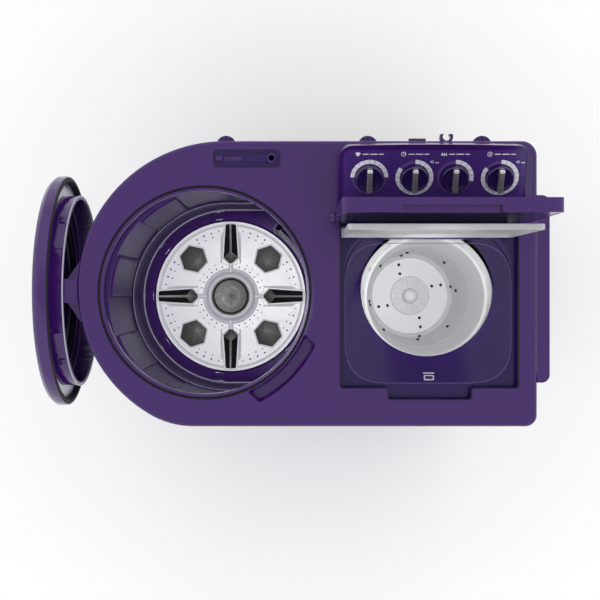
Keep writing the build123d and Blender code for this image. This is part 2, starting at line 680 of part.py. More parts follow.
def wash_lid_ring():
    """Ring that plugs into the wash opening, with a shallow stadium recess in its upper side."""
    r0, r1, tip, back = LID_RING_R0, LID_RING_R1, LID_TIP_X, LID_BACK_X
    points = [
        (LID_WINDOW_R - 4, back + 4.2),
        (r1 + 4, back + 4.2),
        (r1 + 4, back + 8),
        (r1, back + 11),
        (r1, tip),
        (r0, tip),
        (r0, back + 9),
        (LID_WINDOW_R - 4, back + 8),
    ]
    recess = Plane.YZ * sector(0, 0, r1 - 2.2, r1 + 10, 65.5, 114.5)
    recess = Pos(back + 17, HUNG_Y, HUNG_Z) * extrude(recess, tip - back - 22)
    return lid_face(points) - recess


def wash_lid_backing():
    """Inner panel, set back inside the rim, with its screw holes."""
    face = LID_FLANGE_X - LID_BACKING_DROP
    inner, outer = LID_RING_R1 + 0.3, LID_RIM_R - 4.4
    panel = lid_face([(inner, face - 2.5), (inner, face), (outer, face), (outer, face - 2.5)])
    for turn in range(8):
        angle = radians(22.5 + turn * 45)
        y = HUNG_Y + 190 * cos(angle)
        z = HUNG_Z + 190 * sin(angle)
        panel = panel - rod_x(face - 10, face + 5, y, z, 2)
    return panel


def wash_lid_gasket():
    """Rubber lip around the edge of the lid's inner side."""
    foot, lip = LID_FLANGE_X - 6, LID_FLANGE_X + 2.5
    r0, r1 = LID_RIM_R - 12.2, LID_RIM_R - 4.3
    return lid_face([(r0, foot), (r0, lip - 1.5), (r1 - 3.7, lip), (r1, lip - 2.5), (r1, foot)])


def spin_lid_shell():
    """Outer shell of the spin lid, with a grip recess in its free edge."""
    y0, y1 = LID_HINGE_Y - LID_THICK / 2, LID_HINGE_Y + LID_THICK / 2
    top = LID_HINGE_Z + LID_REACH
    shell = block(LID_X0, LID_X1, y0, y1, LID_HINGE_Z, top)
    shell = fillet(shell.edges().filter_by(Axis.Y).group_by(Axis.Z)[-1], 9)
    shell = shell + rod_x(LID_X0, LID_X1, LID_HINGE_Y, LID_HINGE_Z, LID_THICK / 2)
    shell = shell - block(LID_X0 + 3, LID_X1 - 3, y0 - 1, y1 - 3, LID_HINGE_Z + 14, top - 14)
    shell = shell - block(168, 314, y0 - 1, y0 + 11, top - 10, top + 1)
    return shell - rod_x(LID_X0 - 1, LID_X1 + 1, LID_HINGE_Y, LID_HINGE_Z, 3 + RUNNING_GAP)


def spin_lid_liner():
    """Panel that closes the inner side of the spin lid."""
    y0 = LID_HINGE_Y - LID_THICK / 2
    top = LID_HINGE_Z + LID_REACH
    return block(LID_X0 + 3.1, LID_X1 - 3.1, y0 + 0.5, y0 + 3, LID_HINGE_Z + 14.1, top - 14.1)


def spin_lid_hinge_pins():
    """Steel pins of the spin lid's hinge."""
    left = rod_x(LID_X0 - 8.4, LID_X0 + 14, LID_HINGE_Y, LID_HINGE_Z, 3)
    right = rod_x(LID_X1 - 14, LID_X1 + 8.4, LID_HINGE_Y, LID_HINGE_Z, 3)
    return [left, right]


def spin_inner_lid():
    """Clear safety lid over the spin basket, with bevelled corners and a turned-in lip at its free edge."""
    top = INNER_HINGE_Z + INNER_REACH
    y0, y1 = INNER_FRONT_Y, INNER_BACK_Y
    plate = block(INNER_X0, INNER_X1, y0, y1, INNER_HINGE_Z - 2, top)
    plate = chamfer(plate.edges().filter_by(Axis.Y).group_by(Axis.Z)[-1], 6)
    hollow = block(INNER_X0 + 4, INNER_X1 - 4, y0 - 1, y1 - 3, INNER_HINGE_Z + 1, top - 4)
    plate = plate - hollow
    plate = plate + block(INNER_X0 + 3, INNER_X1 - 3, y0, y0 + 1.5, top - 12, top - 3)
    for x0, x1 in ((INNER_X0, INNER_X0 + 8), (INNER_X1 - 8, INNER_X1)):
        ear = rod_x(x0, x1, INNER_HINGE_Y, INNER_HINGE_Z, 4.5)
        ear = ear + block(x0, x1, y0 + 2, INNER_HINGE_Y, INNER_HINGE_Z - 4.2, INNER_HINGE_Z + 4.2)
        plate = plate + ear
    return plate - rod_x(0, 500, INNER_HINGE_Y, INNER_HINGE_Z, 2.5 + RUNNING_GAP)


def inner_lid_hinge_pins():
    """Pins that carry the safety lid in the walls of the recess."""
    z = INNER_HINGE_Z
    left = rod_x(WELL_X0 - 2.4, INNER_X0 + 8, INNER_HINGE_Y, z, 2.5)
    right = rod_x(INNER_X1 - 8, WELL_X1 + 2.4, INNER_HINGE_Y, z, 2.5)
    return [left, right]


def panel_plan(corners, inset):
    """Plan of the control panel: straight front and sides, a bowed back with round corners."""
    x0, x1 = corners["left"] + inset, corners["right"] - inset
    front, back = PANEL_FRONT_Y + inset, corners["back"] - inset
    sides = Polyline((x1, back), (x1, front), (x0, front), (x0, back))
    bow = ThreePointArc((x0, back), ((x0 + x1) / 2, back + PANEL_BOW), (x1, back))
    plan = make_face(sides + bow)
    plan = corner_fillet(plan, x0, back, corners["radius"] - inset)
    return corner_fillet(plan, x1, back, corners["radius"] - inset)


def panel_block(inset):
    """Solid shape of the control panel, its slope rising to the back, moved inwards by a wall."""
    base = Pos(0, 0, PLATE_TOP + 0.1 + inset) * panel_plan(PANEL_BASE, inset)
    crown = Pos(0, 0, PLATE_TOP + PANEL_CROWN_RISE) * panel_plan(PANEL_CROWN, inset)
    front_z = PLATE_TOP + PANEL_FRONT_RISE - inset / cos(radians(FASCIA_TILT))
    far_z = front_z + 140 * tan(radians(FASCIA_TILT))
    near, far = PANEL_FRONT_Y, PANEL_FRONT_Y + 140
    side = Polyline((near, PLATE_TOP), (near, front_z), (far, far_z), (far, PLATE_TOP), close=True)
    wedge = extrude(Plane.YZ * make_face(side), 600)
    return loft([base, crown]) & wedge


def panel_plane():
    """Plane of the sloping fascia, its Z pointing out of it."""
    tilt = radians(FASCIA_TILT)
    rise = (KNOB_Y - PANEL_FRONT_Y) * tan(tilt)
    origin = (0, KNOB_Y, PLATE_TOP + PANEL_FRONT_RISE + rise)
    return Plane(origin=origin, x_dir=(1, 0, 0), z_dir=(0, -sin(tilt), cos(tilt)))


FASCIA = panel_plane()
FASCIA_LOW, FASCIA_HIGH = -52.0, 50.5


def panel_housing():
    """Raised housing behind the spin lid that carries the controls."""
    shape = panel_block(0) - panel_block(PANEL_WALL)
    hole = FASCIA * slab(rounded(FASCIA_X0, FASCIA_X1, FASCIA_LOW, FASCIA_HIGH, 14), -8, 5)
    return shape - hole


def panel_fascia():
    """Inset plate on the slope, with the four spindle holes."""
    gap = 0.3
    plan = rounded(FASCIA_X0 + gap, FASCIA_X1 - gap, FASCIA_LOW + gap, FASCIA_HIGH - gap, 14 - gap)
    plate = slab(plan, -4, -1)
    for x in KNOB_XS.values():
        plate = plate - post(x, 0, -10, 5, 4)
    return FASCIA * plate


DIAL_SPANS = {"fabric": (0, 180), "wash_timer": (-216, 90), "drain": (-13, 90), "dry_timer": (-216, 90)}


def dial_scales():
    """Raised scale bands around the knobs."""
    bands = []
    for name, (start, end) in DIAL_SPANS.items():
        middle = (start + end) / 2
        band = sector(KNOB_XS[name], 0, SCALE_R0, SCALE_R1, start, middle)
        band = band + sector(KNOB_XS[name], 0, SCALE_R0, SCALE_R1, middle, end)
        bands.append(FASCIA * slab(band, -1, -0.4))
    return bands


def knob(x):
    """Knob: a round skirt, a raised grip bar across it and a spindle."""
    skirt = post(x, 0, -0.2, 9, KNOB_R)
    skirt = fillet(skirt.faces().sort_by(Axis.Z)[-1].edges(), 2)
    bar = slab(rounded(x - 5.5, x + 5.5, -KNOB_R + 1, KNOB_R - 1, 5), 8, 21)
    return FASCIA * (skirt + bar + post(x, 0, -24, 1, 3))


def control_case(x):
    """Timer or selector body behind the fascia."""
    case = slab(rounded(x - 25, x + 25, -25, 25, 4), -42, -6)
    neck = post(x, 0, -7, -4.1, 8)
    return FASCIA * (case + neck - post(x, 0, -30, 0, 3 + RUNNING_GAP))


def drain_valve_body():
    """Valve body between the two tubs, with the outlet spigot through the back."""
    body = pipe(VALVE_X, VALVE_Y, 400, 440, 22, 18)
    body = body + post(VALVE_X, VALVE_Y, 396, 401, 22)
    pipe_down = pipe(VALVE_X, VALVE_Y, 68, 398, 13, 10)
    cover_face = PLATE_BACK - CABINET_INSET
    run = rod_y(VALVE_X, VALVE_Y, cover_face + 1, OUTLET_Z, 13)
    spigot = rod_y(VALVE_X, cover_face + 0.5, PLATE_BACK + 10, OUTLET_Z, 14)
    bore = rod_y(VALVE_X, VALVE_Y + 2, PLATE_BACK + 11, OUTLET_Z, 10)
    shape = body + pipe_down + run + spigot
    shape = shape - bore - post(VALVE_X, VALVE_Y, 72, 405, 10)
    elbow = pipe(35, VALVE_Y, 440, TUB_FLOOR - TUB_WALL, 13.5, 11)
    link = block(35, VALVE_X, VALVE_Y - 14, VALVE_Y + 14, 437, 441)
    return shape + elbow + (link - post(VALVE_X, VALVE_Y, 430, 450, 4))


def drain_valve_plug():
    """Plug that the drain selector lifts off its seat."""
    return post(VALVE_X, VALVE_Y, 401.5, 410, 15) + post(VALVE_X, VALVE_Y, 409, 460, 3)


def motor_capacitors():
    """Run capacitors of the two motors, side by side."""
    return [post(x, 190, FOOT_HEIGHT + 5, 95, 20) for x in (300, 350)]


def cord_gland():
    """Gland in the service cover for the mains lead."""
    y1 = PLATE_BACK - CABINET_INSET
    gland = rod_y(GLAND_X, y1 - 12, y1 + 6, GLAND_Z, 7.9) + rod_y(GLAND_X, y1, y1 + 3, GLAND_Z, 12)
    return gland - rod_y(GLAND_X, 200, 260, GLAND_Z, 4)


NODES = {
    "base_frame": base_frame,
    "feet": feet,
    "cabinet_shell": cabinet_shell,
    "back_cover": back_cover,
    "back_cover_screws": back_cover_screws,
    "top_frame": top_frame,
    "wash_tub": wash_tub,
    "lint_filter": lint_filter,
    "wash_lid_hook": wash_lid_hook,
    "inlet_bezel": inlet_bezel,
    "inlet_slider": inlet_slider,
    "water_inlet": water_inlet,
    "back_spacers": back_spacers,
    "back_tab": back_tab,
    "hose_clip": hose_clip,
    "side_grip": side_grip,
    "spin_well": spin_well,
    "spin_outer_tub": spin_outer_tub,
    "spin_bellows": spin_bellows,
    "spin_basket": spin_basket,
    "spin_shaft": spin_shaft,
    "spin_motor": spin_motor,
    "spin_motor_springs": spin_motor_springs,
    "spring_seats": spring_seats,
    "brake_lever": brake_lever,
    "brake_pivot": brake_pivot,
    "gearbox_bracket": gearbox_bracket,
    "gearbox_housing": gearbox_housing,
    "gearbox_pulley": gearbox_pulley,
    "motor_pulley": motor_pulley,
    "wash_motor": wash_motor,
    "drive_belt": drive_belt,
    "pulsator_seal": pulsator_seal,
    "pulsator_shaft": pulsator_shaft,
    "pulsator_disc": pulsator_disc,
    "pulsator_blades": pulsator_blades,
    "pulsator_cap": pulsator_cap,
    "wash_lid_rim": wash_lid_rim,
    "wash_lid_window": wash_lid_window,
    "wash_lid_ring": wash_lid_ring,
    "wash_lid_backing": wash_lid_backing,
    "wash_lid_gasket": wash_lid_gasket,
    "spin_lid_shell": spin_lid_shell,
    "spin_lid_liner": spin_lid_liner,
    "spin_lid_hinge_pins": spin_lid_hinge_pins,
    "spin_inner_lid": spin_inner_lid,
    "inner_lid_hinge_pins": inner_lid_hinge_pins,
    "panel_housing": panel_housing,
    "panel_fascia": panel_fascia,
    "dial_scales": dial_scales,
    "drain_valve_body": drain_valve_body,
    "drain_valve_plug": drain_valve_plug,
    "motor_capacitors": motor_capacitors,
    "cord_gland": cord_gland,
}
for name, x in KNOB_XS.items():
    NODES[f"{name}_knob"] = lambda x=x: knob(x)
NODES["timer_cases"] = lambda: [control_case(KNOB_XS[name]) for name in ("wash_timer", "dry_timer")]
NODES["selector_cases"] = lambda: [control_case(KNOB_XS[name]) for name in ("fabric", "drain")]


def save(node, shape):
    """Write one node, joining a list of separate solids into one compound."""
    if isinstance(shape, list):
        shape = Compound(children=[solid for piece in shape for solid in piece.solids()])
    export_step(shape, f"parts/{node}.step")


os.makedirs("parts", exist_ok=True)
for node, make in NODES.items():
    save(node, make())
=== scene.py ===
"""Looks for a twin-tub washing machine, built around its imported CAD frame.

Laid out as an add-on: sizes and colours are properties, each group of pieces is an operator.
Lengths inside the piece functions are in millimetres; meshes are written in metres.
"""

import math

import bmesh
import bpy
from bpy.props import FloatProperty, FloatVectorProperty, IntProperty, PointerProperty
from mathutils import Matrix, Vector


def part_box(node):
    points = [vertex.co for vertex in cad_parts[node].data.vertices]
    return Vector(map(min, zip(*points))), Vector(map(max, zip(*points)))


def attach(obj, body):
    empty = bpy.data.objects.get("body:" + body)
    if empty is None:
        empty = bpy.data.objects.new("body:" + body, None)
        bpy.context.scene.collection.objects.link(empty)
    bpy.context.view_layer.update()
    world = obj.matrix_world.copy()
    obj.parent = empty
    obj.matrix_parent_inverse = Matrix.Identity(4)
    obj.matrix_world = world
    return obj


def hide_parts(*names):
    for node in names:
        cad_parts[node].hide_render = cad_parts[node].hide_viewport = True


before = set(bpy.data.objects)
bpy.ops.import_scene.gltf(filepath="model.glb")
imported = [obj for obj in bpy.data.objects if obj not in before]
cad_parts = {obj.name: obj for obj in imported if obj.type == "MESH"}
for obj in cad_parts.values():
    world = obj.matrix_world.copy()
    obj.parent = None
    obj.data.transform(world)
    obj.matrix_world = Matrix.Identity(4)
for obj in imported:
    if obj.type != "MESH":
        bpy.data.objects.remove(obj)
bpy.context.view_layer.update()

bl_info = {
    "name": "Twin Tub Washer",
    "version": (1, 0, 0),
    "blender": (4, 5, 0),
    "location": "View3D > Sidebar > Washer",
    "description": "Dresses the packed frame of a twin-tub washing machine",
    "category": "Object",
}

MM = 0.001


def hex_linear(code):
    """Turn an sRGB hex colour into linear values."""
    channels = [int(code[i:i + 2], 16) / 255 for i in (1, 3, 5)]
    return tuple(c / 12.92 if c <= 0.04045 else ((c + 0.055) / 1.055) ** 2.4 for c in channels)


def place(node):
    """Lowest and highest corner of a CAD node, in millimetres."""
    low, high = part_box(node)
    return Vector(low) / MM, Vector(high) / MM


def middle(node):
    """Centre of a CAD node's box, in millimetres."""
    low, high = place(node)
    return (low + high) / 2


# Places read from the frame, in millimetres
PLATE_LOW, PLATE_HIGH = place("top_frame")
PANEL_LOW = place("panel_housing")[0]
PLATE_TOP = PANEL_LOW.z - 0.1
BOW_R = 256.0
BOW = Vector((PLATE_LOW.x + BOW_R, PLATE_HIGH.y - BOW_R))
FRONT_BLEND = 150.0
PULSATOR = middle("pulsator_disc")
DISC_LOW, DISC_HIGH = place("pulsator_disc")
PULSATOR_R = (DISC_HIGH.x - DISC_LOW.x) / 2
PULSATOR_FACE = DISC_LOW.z + 6.0
TUB_LOW, TUB_HIGH = place("wash_tub")
TUB_R = (TUB_HIGH.y - TUB_LOW.y) / 2 - 10.0
TUB_RIGHT = TUB_HIGH.x - 10.0
BASKET = middle("spin_basket")
BASKET_LOW, BASKET_HIGH = place("spin_basket")
LID_LOW = place("wash_lid_rim")[0]
LID_AXIS = middle("wash_lid_rim")
RING_HIGH = place("wash_lid_ring")[1]
COVER_LOW, COVER_HIGH = place("spin_lid_shell")
SAFETY_LOW, SAFETY_HIGH = place("spin_inner_lid")
WELL_LOW, WELL_HIGH = place("spin_well")
BASKET_FLOOR = BASKET_LOW.z + 4

# Sizes that the nodes' boxes don't give, in millimetres and degrees
# Wash opening: its centre and the radii of the black ring in its seat groove, a painted shadow of the groove
WASH_MOUTH = (-148.4, -21.7)
SEAT_R0, SEAT_R1 = 182.1, 186.4
# Wash tub: where the panels of its round side start and end, and its snap pockets
ROUND_FROM, ROUND_TO = 93, 267
POCKET_ANGLES = (98, 144, 180, 216, 262, 318)
# Overflow duct: its two cheeks, and the lattice between them
CHEEK_ANGLES = ((11.5, 13.5), (52.5, 54.5))
CHEEK_R = 158.2
LATTICE_R = 160.4
LATTICE_FROM, LATTICE_TO = 15.0, 51.0
# Spin well: wall, ledge, the shallow bay in its front side, and the funnel's corners
WELL_WALL = 2.4
WELL_LEDGE = PLATE_TOP - 21.5
WELL_BAY_X0, WELL_BAY_X1, WELL_BAY_REACH = 169.0, 317.0, 20.0
FUNNEL_CORNER = 57.0
# Control panel: slope and place of its fascia, the underside of the print, knobs and scale bands
FASCIA_TILT = math.radians(29.0)
FASCIA_SETBACK = 49.5
FASCIA_RISE = 37.0
PRINT_BED = -1.2
KNOB_R = 23.4
SCALE_R0, SCALE_R1 = 24.8, 31.8


# ---------------------------------------------------------------- settings


def colour(label, code, words):
    """A colour property with its default given in hex."""
    return FloatVectorProperty(name=label, description=words, subtype="COLOR", size=3, min=0, max=1,
                               default=hex_linear(code))


def length(label, value, words):
    """A length property with its default given in millimetres."""
    return FloatProperty(name=label, description=words, default=value * MM, min=0, unit="LENGTH")


def amount(label, value, words, **more):
    """A plain number property."""
    return FloatProperty(name=label, description=words, default=value, min=0, **more)


class WASHER_PG_colours(bpy.types.PropertyGroup):
    shell: colour("Shell", "#360D5E", "Deep violet of the outer mouldings")
    well: colour("Spin well", "#220050", "Deeper violet of the spin recess and the knobs")
    tub: colour("Wash tub", "#42256A", "Violet of the wash tub")
    pulsator: colour("Pulsator", "#DCDBE2", "Light grey of the pulsator plate")
    inserts: colour("Inserts", "#131314", "Dark grey of the blades and caps")
    basket: colour("Basket", "#E4E4E6", "White of the spin basket")
    grip: colour("Knob grip", "#6E6C6F", "Grey of the knob grips")
    print: colour("Print", "#F0EFF5", "White of the printed scales")
    rubber: colour("Rubber", "#0B0B0C", "Black of feet and seals")
    base: colour("Base", "#141118", "Near black of the base and the back cover")


class WASHER_PG_sizes(bpy.types.PropertyGroup):
    shell_edge: length("Shell edge", 2.2, "Rounding of the outer mouldings' edges")
    fine_edge: length("Fine edge", 0.8, "Rounding of the small parts' edges")
    lattice_pitch: length("Lattice pitch", 7.0, "Spacing of the lint filter's bars")
    crease_count: IntProperty(name="Tub panels", description="Panels around the tub's round side",
                              default=8, min=2, max=24)


class WASHER_PG_stage(bpy.types.PropertyGroup):
    camera_height: length("Camera height", 1973.0, "Height of the camera above the top plate")
    camera_x: length("Camera X", 17.5, "Where the camera looks down, across")
    camera_y: length("Camera Y", 14.0, "Where the camera looks down, towards the front")
    lens: FloatProperty(name="Lens", description="Focal length", default=68.1, min=10, unit="CAMERA")
    zenith: amount("Zenith", 0.8, "Brightness of the room straight overhead")
    walls: amount("Walls", 1.15, "Brightness of the room's pale walls")
    horizon: amount("Horizon", 0.9, "Brightness of the room near the floor")
    tub_power: amount("Wash tub lamp", 108.0, "Power of the lamp over the wash tub", unit="POWER")
    basket_power: amount("Spin tub lamp", 70.0, "Power of the lamp over the spin tub", unit="POWER")
    floor_tone: colour("Floor", "#FEFEFE", "Pale floor")


def settings(group):
    """One of the add-on's groups of values."""
    return getattr(bpy.context.scene, "washer_" + group)


# ---------------------------------------------------------------- materials


def add_node(tree, kind, inputs=None, links=None, **attributes):
    """Add one shader node with its settings, values and links."""
    node = tree.nodes.new(kind)
    for key, value in attributes.items():
        setattr(node, key, value)
    for key, value in (inputs or {}).items():
        node.inputs[key].default_value = value
    for key, socket in (links or {}).items():
        tree.links.new(socket, node.inputs[key])
    return node


def surface(name, base, roughness, spread, patch_mm, grain_mm, grain_depth, tone=0.06, **constants):
    """A surface with slow patches of gloss and tone and a fine relief, all in real millimetres.

    Constants such as IOR or metallic are set on the shader's own sockets.
    """
    known = bpy.data.materials.get(name)
    if known:
        return known
    material = bpy.data.materials.new(name)
    material.use_nodes = True
    tree = material.node_tree
    tree.nodes.clear()
    where = add_node(tree, "ShaderNodeTexCoord").outputs["Object"]
    patches = add_node(tree, "ShaderNodeTexNoise", {"Scale": 1 / (patch_mm * MM), "Detail": 3.0},
                       {"Vector": where})
    gloss = add_node(tree, "ShaderNodeMapRange",
                     {"To Min": max(roughness - spread, 0.02), "To Max": roughness + spread},
                     {"Value": patches.outputs["Fac"]})
    light = [min(c * (1 + tone), 1.0) for c in base]
    dark = [c * (1 - tone) for c in base]
    shade = add_node(tree, "ShaderNodeMix", {6: (*dark, 1), 7: (*light, 1)}, {0: patches.outputs["Fac"]},
                     data_type="RGBA")
    grain = add_node(tree, "ShaderNodeTexNoise",
                     {"Scale": 1 / (grain_mm * MM), "Detail": 4.0, "Roughness": 0.55}, {"Vector": where})
    relief = add_node(tree, "ShaderNodeBump", {"Strength": 1.0, "Distance": grain_depth * MM},
                      {"Height": grain.outputs["Fac"]})
    shader = add_node(tree, "ShaderNodeBsdfPrincipled", constants,
                      {"Base Color": shade.outputs[2], "Roughness": gloss.outputs["Result"],
                       "Normal": relief.outputs["Normal"]})
    add_node(tree, "ShaderNodeOutputMaterial", links={"Surface": shader.outputs["BSDF"]})
    return material


def polished_abs():
    """ABS moulded in a polished tool: a clear white reflection over deep colour, faintly wavy."""
    return surface("polished_violet_abs", settings("colours").shell, 0.17, 0.03, 60, 5.0, 0.006,
                   **{"IOR": 1.53})


def well_abs():
    """ABS of the recess under the spin lid: deeper, its sheen broken a little by water marks."""
    return surface("violet_abs_well", settings("colours").well, 0.2, 0.04, 25, 4.0, 0.006,
                   **{"IOR": 1.53, "Specular IOR Level": 0.35})


def tub_polypropylene():
    """Polypropylene straight from the mould: softer, waxy highlights and a slight grain."""
    return surface("violet_polypropylene_tub", settings("colours").tub, 0.36, 0.03, 60, 3.0, 0.004,
                   **{"IOR": 1.49, "Specular IOR Level": 0.3})


def ridge_highlight_violet():
    """Violet polypropylene painted pale: a painted highlight along the tub's ridges and round the latch's
    frame, where light catches their rounded edges.
    """
    return surface("ridge_highlight_polypropylene", hex_linear("#C2B9D6"), 0.3, 0.04, 20, 1.0, 0.01, 0.08,
                   **{"IOR": 1.49})


def pulsator_abs():
    """Light grey ABS with a satin face that spreads the light without a sharp image."""
    return surface("satin_grey_abs", settings("colours").pulsator, 0.34, 0.05, 22, 1.2, 0.015, 0.03,
                   **{"IOR": 1.53})


def filled_nylon():
    """Glass-filled nylon: dark and dry, with a fine sparkle from its mottled surface."""
    return surface("dark_filled_nylon", settings("colours").inserts, 0.4, 0.08, 8, 0.7, 0.04, 0.2,
                   **{"IOR": 1.53})


def basket_polypropylene():
    """White polypropylene, slightly see-through at its edges, so shadows in it stay pale."""
    return surface("white_polypropylene", settings("colours").basket, 0.36, 0.05, 26, 1.5, 0.015, 0.02,
                   **{"IOR": 1.49, "Subsurface Weight": 0.12, "Subsurface Scale": 0.004})


def white_abs():
    """Off-white moulded ABS: a clean, slightly soft white with a mild gloss."""
    return surface("off_white_abs", hex_linear("#F2F1F4"), 0.3, 0.05, 25, 2.0, 0.01, 0.03,
                   **{"IOR": 1.53})


def lip_elastomer():
    """Pale thermoplastic lip that catches the light as a thin line."""
    return surface("pale_elastomer_lip", hex_linear("#BDB6C9"), 0.35, 0.05, 15, 1.0, 0.01, 0.04,
                   **{"IOR": 1.5})


def smoked_polycarbonate():
    """Polycarbonate tinted almost black: a hard mirror of the room over a dark depth."""
    return surface("smoked_polycarbonate", hex_linear("#08070B"), 0.07, 0.02, 50, 8.0, 0.008, 0.1,
                   **{"IOR": 1.585, "Transmission Weight": 0.25})


def frosted_styrene():
    """Grey clear styrene with a frosted inner side: light comes through it blurred."""
    return surface("frosted_grey_styrene", hex_linear("#E0E0E2"), 0.3, 0.04, 30, 1.0, 0.012, 0.03,
                   **{"IOR": 1.55, "Transmission Weight": 0.35})


def fascia_abs():
    """ABS sheet behind the knobs, a shade lighter and milkier than the housing round it."""
    return surface("satin_violet_fascia", hex_linear("#442774"), 0.28, 0.04, 40, 2.0, 0.006,
                   **{"IOR": 1.53})


def knob_abs():
    """ABS moulded in a mirror-polished tool: small hard highlights run round the knobs' flutes."""
    return surface("gloss_violet_knob", settings("colours").well, 0.12, 0.03, 12, 2.0, 0.008,
                   **{"IOR": 1.53, "Coat Weight": 0.4, "Coat Roughness": 0.04})


def grip_satin():
    """Silver-grey lacquer sprayed on the knob grips: a satin sheen, brighter where fingers rub it."""
    return surface("satin_grey_lacquer", settings("colours").grip, 0.3, 0.06, 6, 0.4, 0.01, 0.05,
                   **{"IOR": 1.5})


def printed_ink():
    """Screen-printed white ink: flat, slightly chalky."""
    return surface("screen_printed_white", settings("colours").print, 0.5, 0.05, 6, 0.3, 0.006, 0.02,
                   **{"IOR": 1.5})


def pale_violet_highlight():
    """Pale violet with a dull, ink-like surface: a painted highlight for the lit bevel of the thin dial rings
    and the lit edge of the funnel.
    """
    return surface("painted_highlight_violet", hex_linear("#5E4785"), 0.5, 0.05, 6, 0.3, 0.006, 0.03,
                   **{"IOR": 1.5})


def moulded_rubber():
    """EPDM rubber: dull, with a dusty bloom in patches."""
    return surface("black_epdm_rubber", settings("colours").rubber, 0.75, 0.1, 18, 0.8, 0.05, 0.3,
                   **{"IOR": 1.52})


def grained_polypropylene():
    """Black polypropylene from a spark-eroded tool: dry and matt, its grain drawn coarse enough to show."""
    return surface("grained_black_polypropylene", settings("colours").base, 0.55, 0.06, 30, 1.0, 0.08, 0.15,
                   **{"IOR": 1.49})


def filter_polypropylene():
    """Violet-grey moulded polypropylene: thin bars with a waxy sheen and a film of lint in patches."""
    return surface("violet_grey_polypropylene", hex_linear("#3D2A5C"), 0.35, 0.05, 12, 0.8, 0.015, 0.08,
                   **{"IOR": 1.49})


def zinc_steel():
    """Zinc-plated steel: a cool grey mirror, blurred by its soft spangle."""
    return surface("zinc_plated_steel", hex_linear("#A9ABAE"), 0.32, 0.1, 7, 0.6, 0.01, 0.08,
                   **{"Metallic": 1.0})


def cast_aluminium():
    """Die-cast aluminium, shot-blasted: pale grey, evenly rough, with no clear reflection."""
    return surface("die_cast_aluminium", hex_linear("#9A9B9D"), 0.5, 0.08, 12, 0.7, 0.05, 0.08,
                   **{"Metallic": 1.0})


# ---------------------------------------------------------------- mesh helpers


def mesh_piece(name, points, faces, material, crease=32.0, weld=True):
    """A new object from points in millimetres, its normals smoothed up to a crease angle."""
    mesh = bpy.data.meshes.new(name)
    mesh.from_pydata([tuple(c * MM for c in p) for p in points], [], faces)
    work = bmesh.new()
    work.from_mesh(mesh)
    if weld:
        bmesh.ops.remove_doubles(work, verts=work.verts, dist=0.00001)
        bmesh.ops.dissolve_degenerate(work, edges=work.edges, dist=0.000005)
    bmesh.ops.recalc_face_normals(work, faces=work.faces)
    work.to_mesh(mesh)
    work.free()
    mesh.polygons.foreach_set("use_smooth", [True] * len(mesh.polygons))
    mesh.set_sharp_from_angle(angle=math.radians(crease))
    mesh.materials.append(material)
    piece = bpy.data.objects.new(name, mesh)
    bpy.context.scene.collection.objects.link(piece)
    return piece


def rounded(points, radius, steps):
    """Ease the corners of a closed outline with short curves."""
    result = []
    for index, point in enumerate(points):
        corner = Vector(point)
        before = Vector(points[index - 1]) - corner
        after = Vector(points[(index + 1) % len(points)]) - corner
        cut = min(radius, before.length / 2.01, after.length / 2.01)
        start = corner + before.normalized() * cut
        end = corner + after.normalized() * cut
        for step in range(steps + 1):
            t = step / steps
            result.append(tuple(start * (1 - t) ** 2 + corner * 2 * t * (1 - t) + end * t * t))
    return result


def skin(rings, loop=False, caps=False):
    """Points and faces of a skin through closed rings that have the same number of points.

    loop joins the last ring to the first; caps close the two ends.
    """
    count = len(rings[0])
    points = [p for ring in rings for p in ring]
    faces = []
    bands = len(rings) if loop else len(rings) - 1
    for band in range(bands):
        low, high = band * count, (band + 1) % len(rings) * count
        for i in range(count):
            j = (i + 1) % count
            faces.append((low + i, low + j, high + j, high + i))
    if caps:
        faces.append(tuple(range(count)))
        faces.append(tuple(range((len(rings) - 1) * count, len(rings) * count)))
    return points, faces


def lathe(name, profile, centre, material, segments=144, axis="Z"):
    """Turn a closed profile of (radius, height) points about an axis through a centre."""
    rings = []
    for step in range(segments):
        angle = 2 * math.pi * step / segments
        c, s = math.cos(angle), math.sin(angle)
        ring = []
        for radius, height in profile:
            if axis == "Z":
                ring.append((centre[0] + radius * c, centre[1] + radius * s, height))
            else:
                ring.append((height, centre[1] + radius * c, centre[2] + radius * s))
        rings.append(ring)
    return mesh_piece(name, *skin(rings, loop=True), material)


def prism(outline, low, high, ease):
    """Points and faces of an outline raised between two heights, its top edge eased inwards."""
    heart = sum((Vector(p) for p in outline), Vector((0, 0))) / len(outline)
    rings = [[(p[0], p[1], low) for p in outline]]
    for step in range(4):
        angle = math.pi / 2 * step / 3
        drop, draw = ease * (1 - math.sin(angle)), ease * (1 - math.cos(angle))
        ring = []
        for p in outline:
            away = Vector(p) - heart
            inner = heart + away * max(1 - draw / max(away.length, 0.001), 0)
            ring.append((inner.x, inner.y, high - drop))
        rings.append(ring)
    return skin(rings, caps=True)


def join(parts):
    """Several (points, faces) pairs as one."""
    points, faces = [], []
    for part_points, part_faces in parts:
        start = len(points)
        points.extend(part_points)
        faces.extend(tuple(start + i for i in face) for face in part_faces)
    return points, faces


def moved(part, matrix):
    """A (points, faces) pair moved by a matrix in millimetres."""
    points, faces = part
    return [tuple(matrix @ Vector(p)) for p in points], faces


def polar(centre, radius, angle):
    """The point at a radius and an angle in degrees round a centre."""
    turn = math.radians(angle)
    return centre[0] + radius * math.cos(turn), centre[1] + radius * math.sin(turn)


def arc_points(centre, radius, start, end, steps):
    """Points along an arc, angles in degrees."""
    return [polar(centre, radius, start + (end - start) * i / steps) for i in range(steps + 1)]


def turned(axis, angle):
    """Matrix that sets a part drawn about the origin on an upright axis, turned by degrees."""
    return Matrix.Translation((axis.x, axis.y, 0)) @ Matrix.Rotation(math.radians(angle), 4, "Z")


def upright(outline, low, high):
    """Points and faces of an outline raised straight between two heights."""
    return skin([[(x, y, z) for x, y in outline] for z in (low, high)], caps=True)


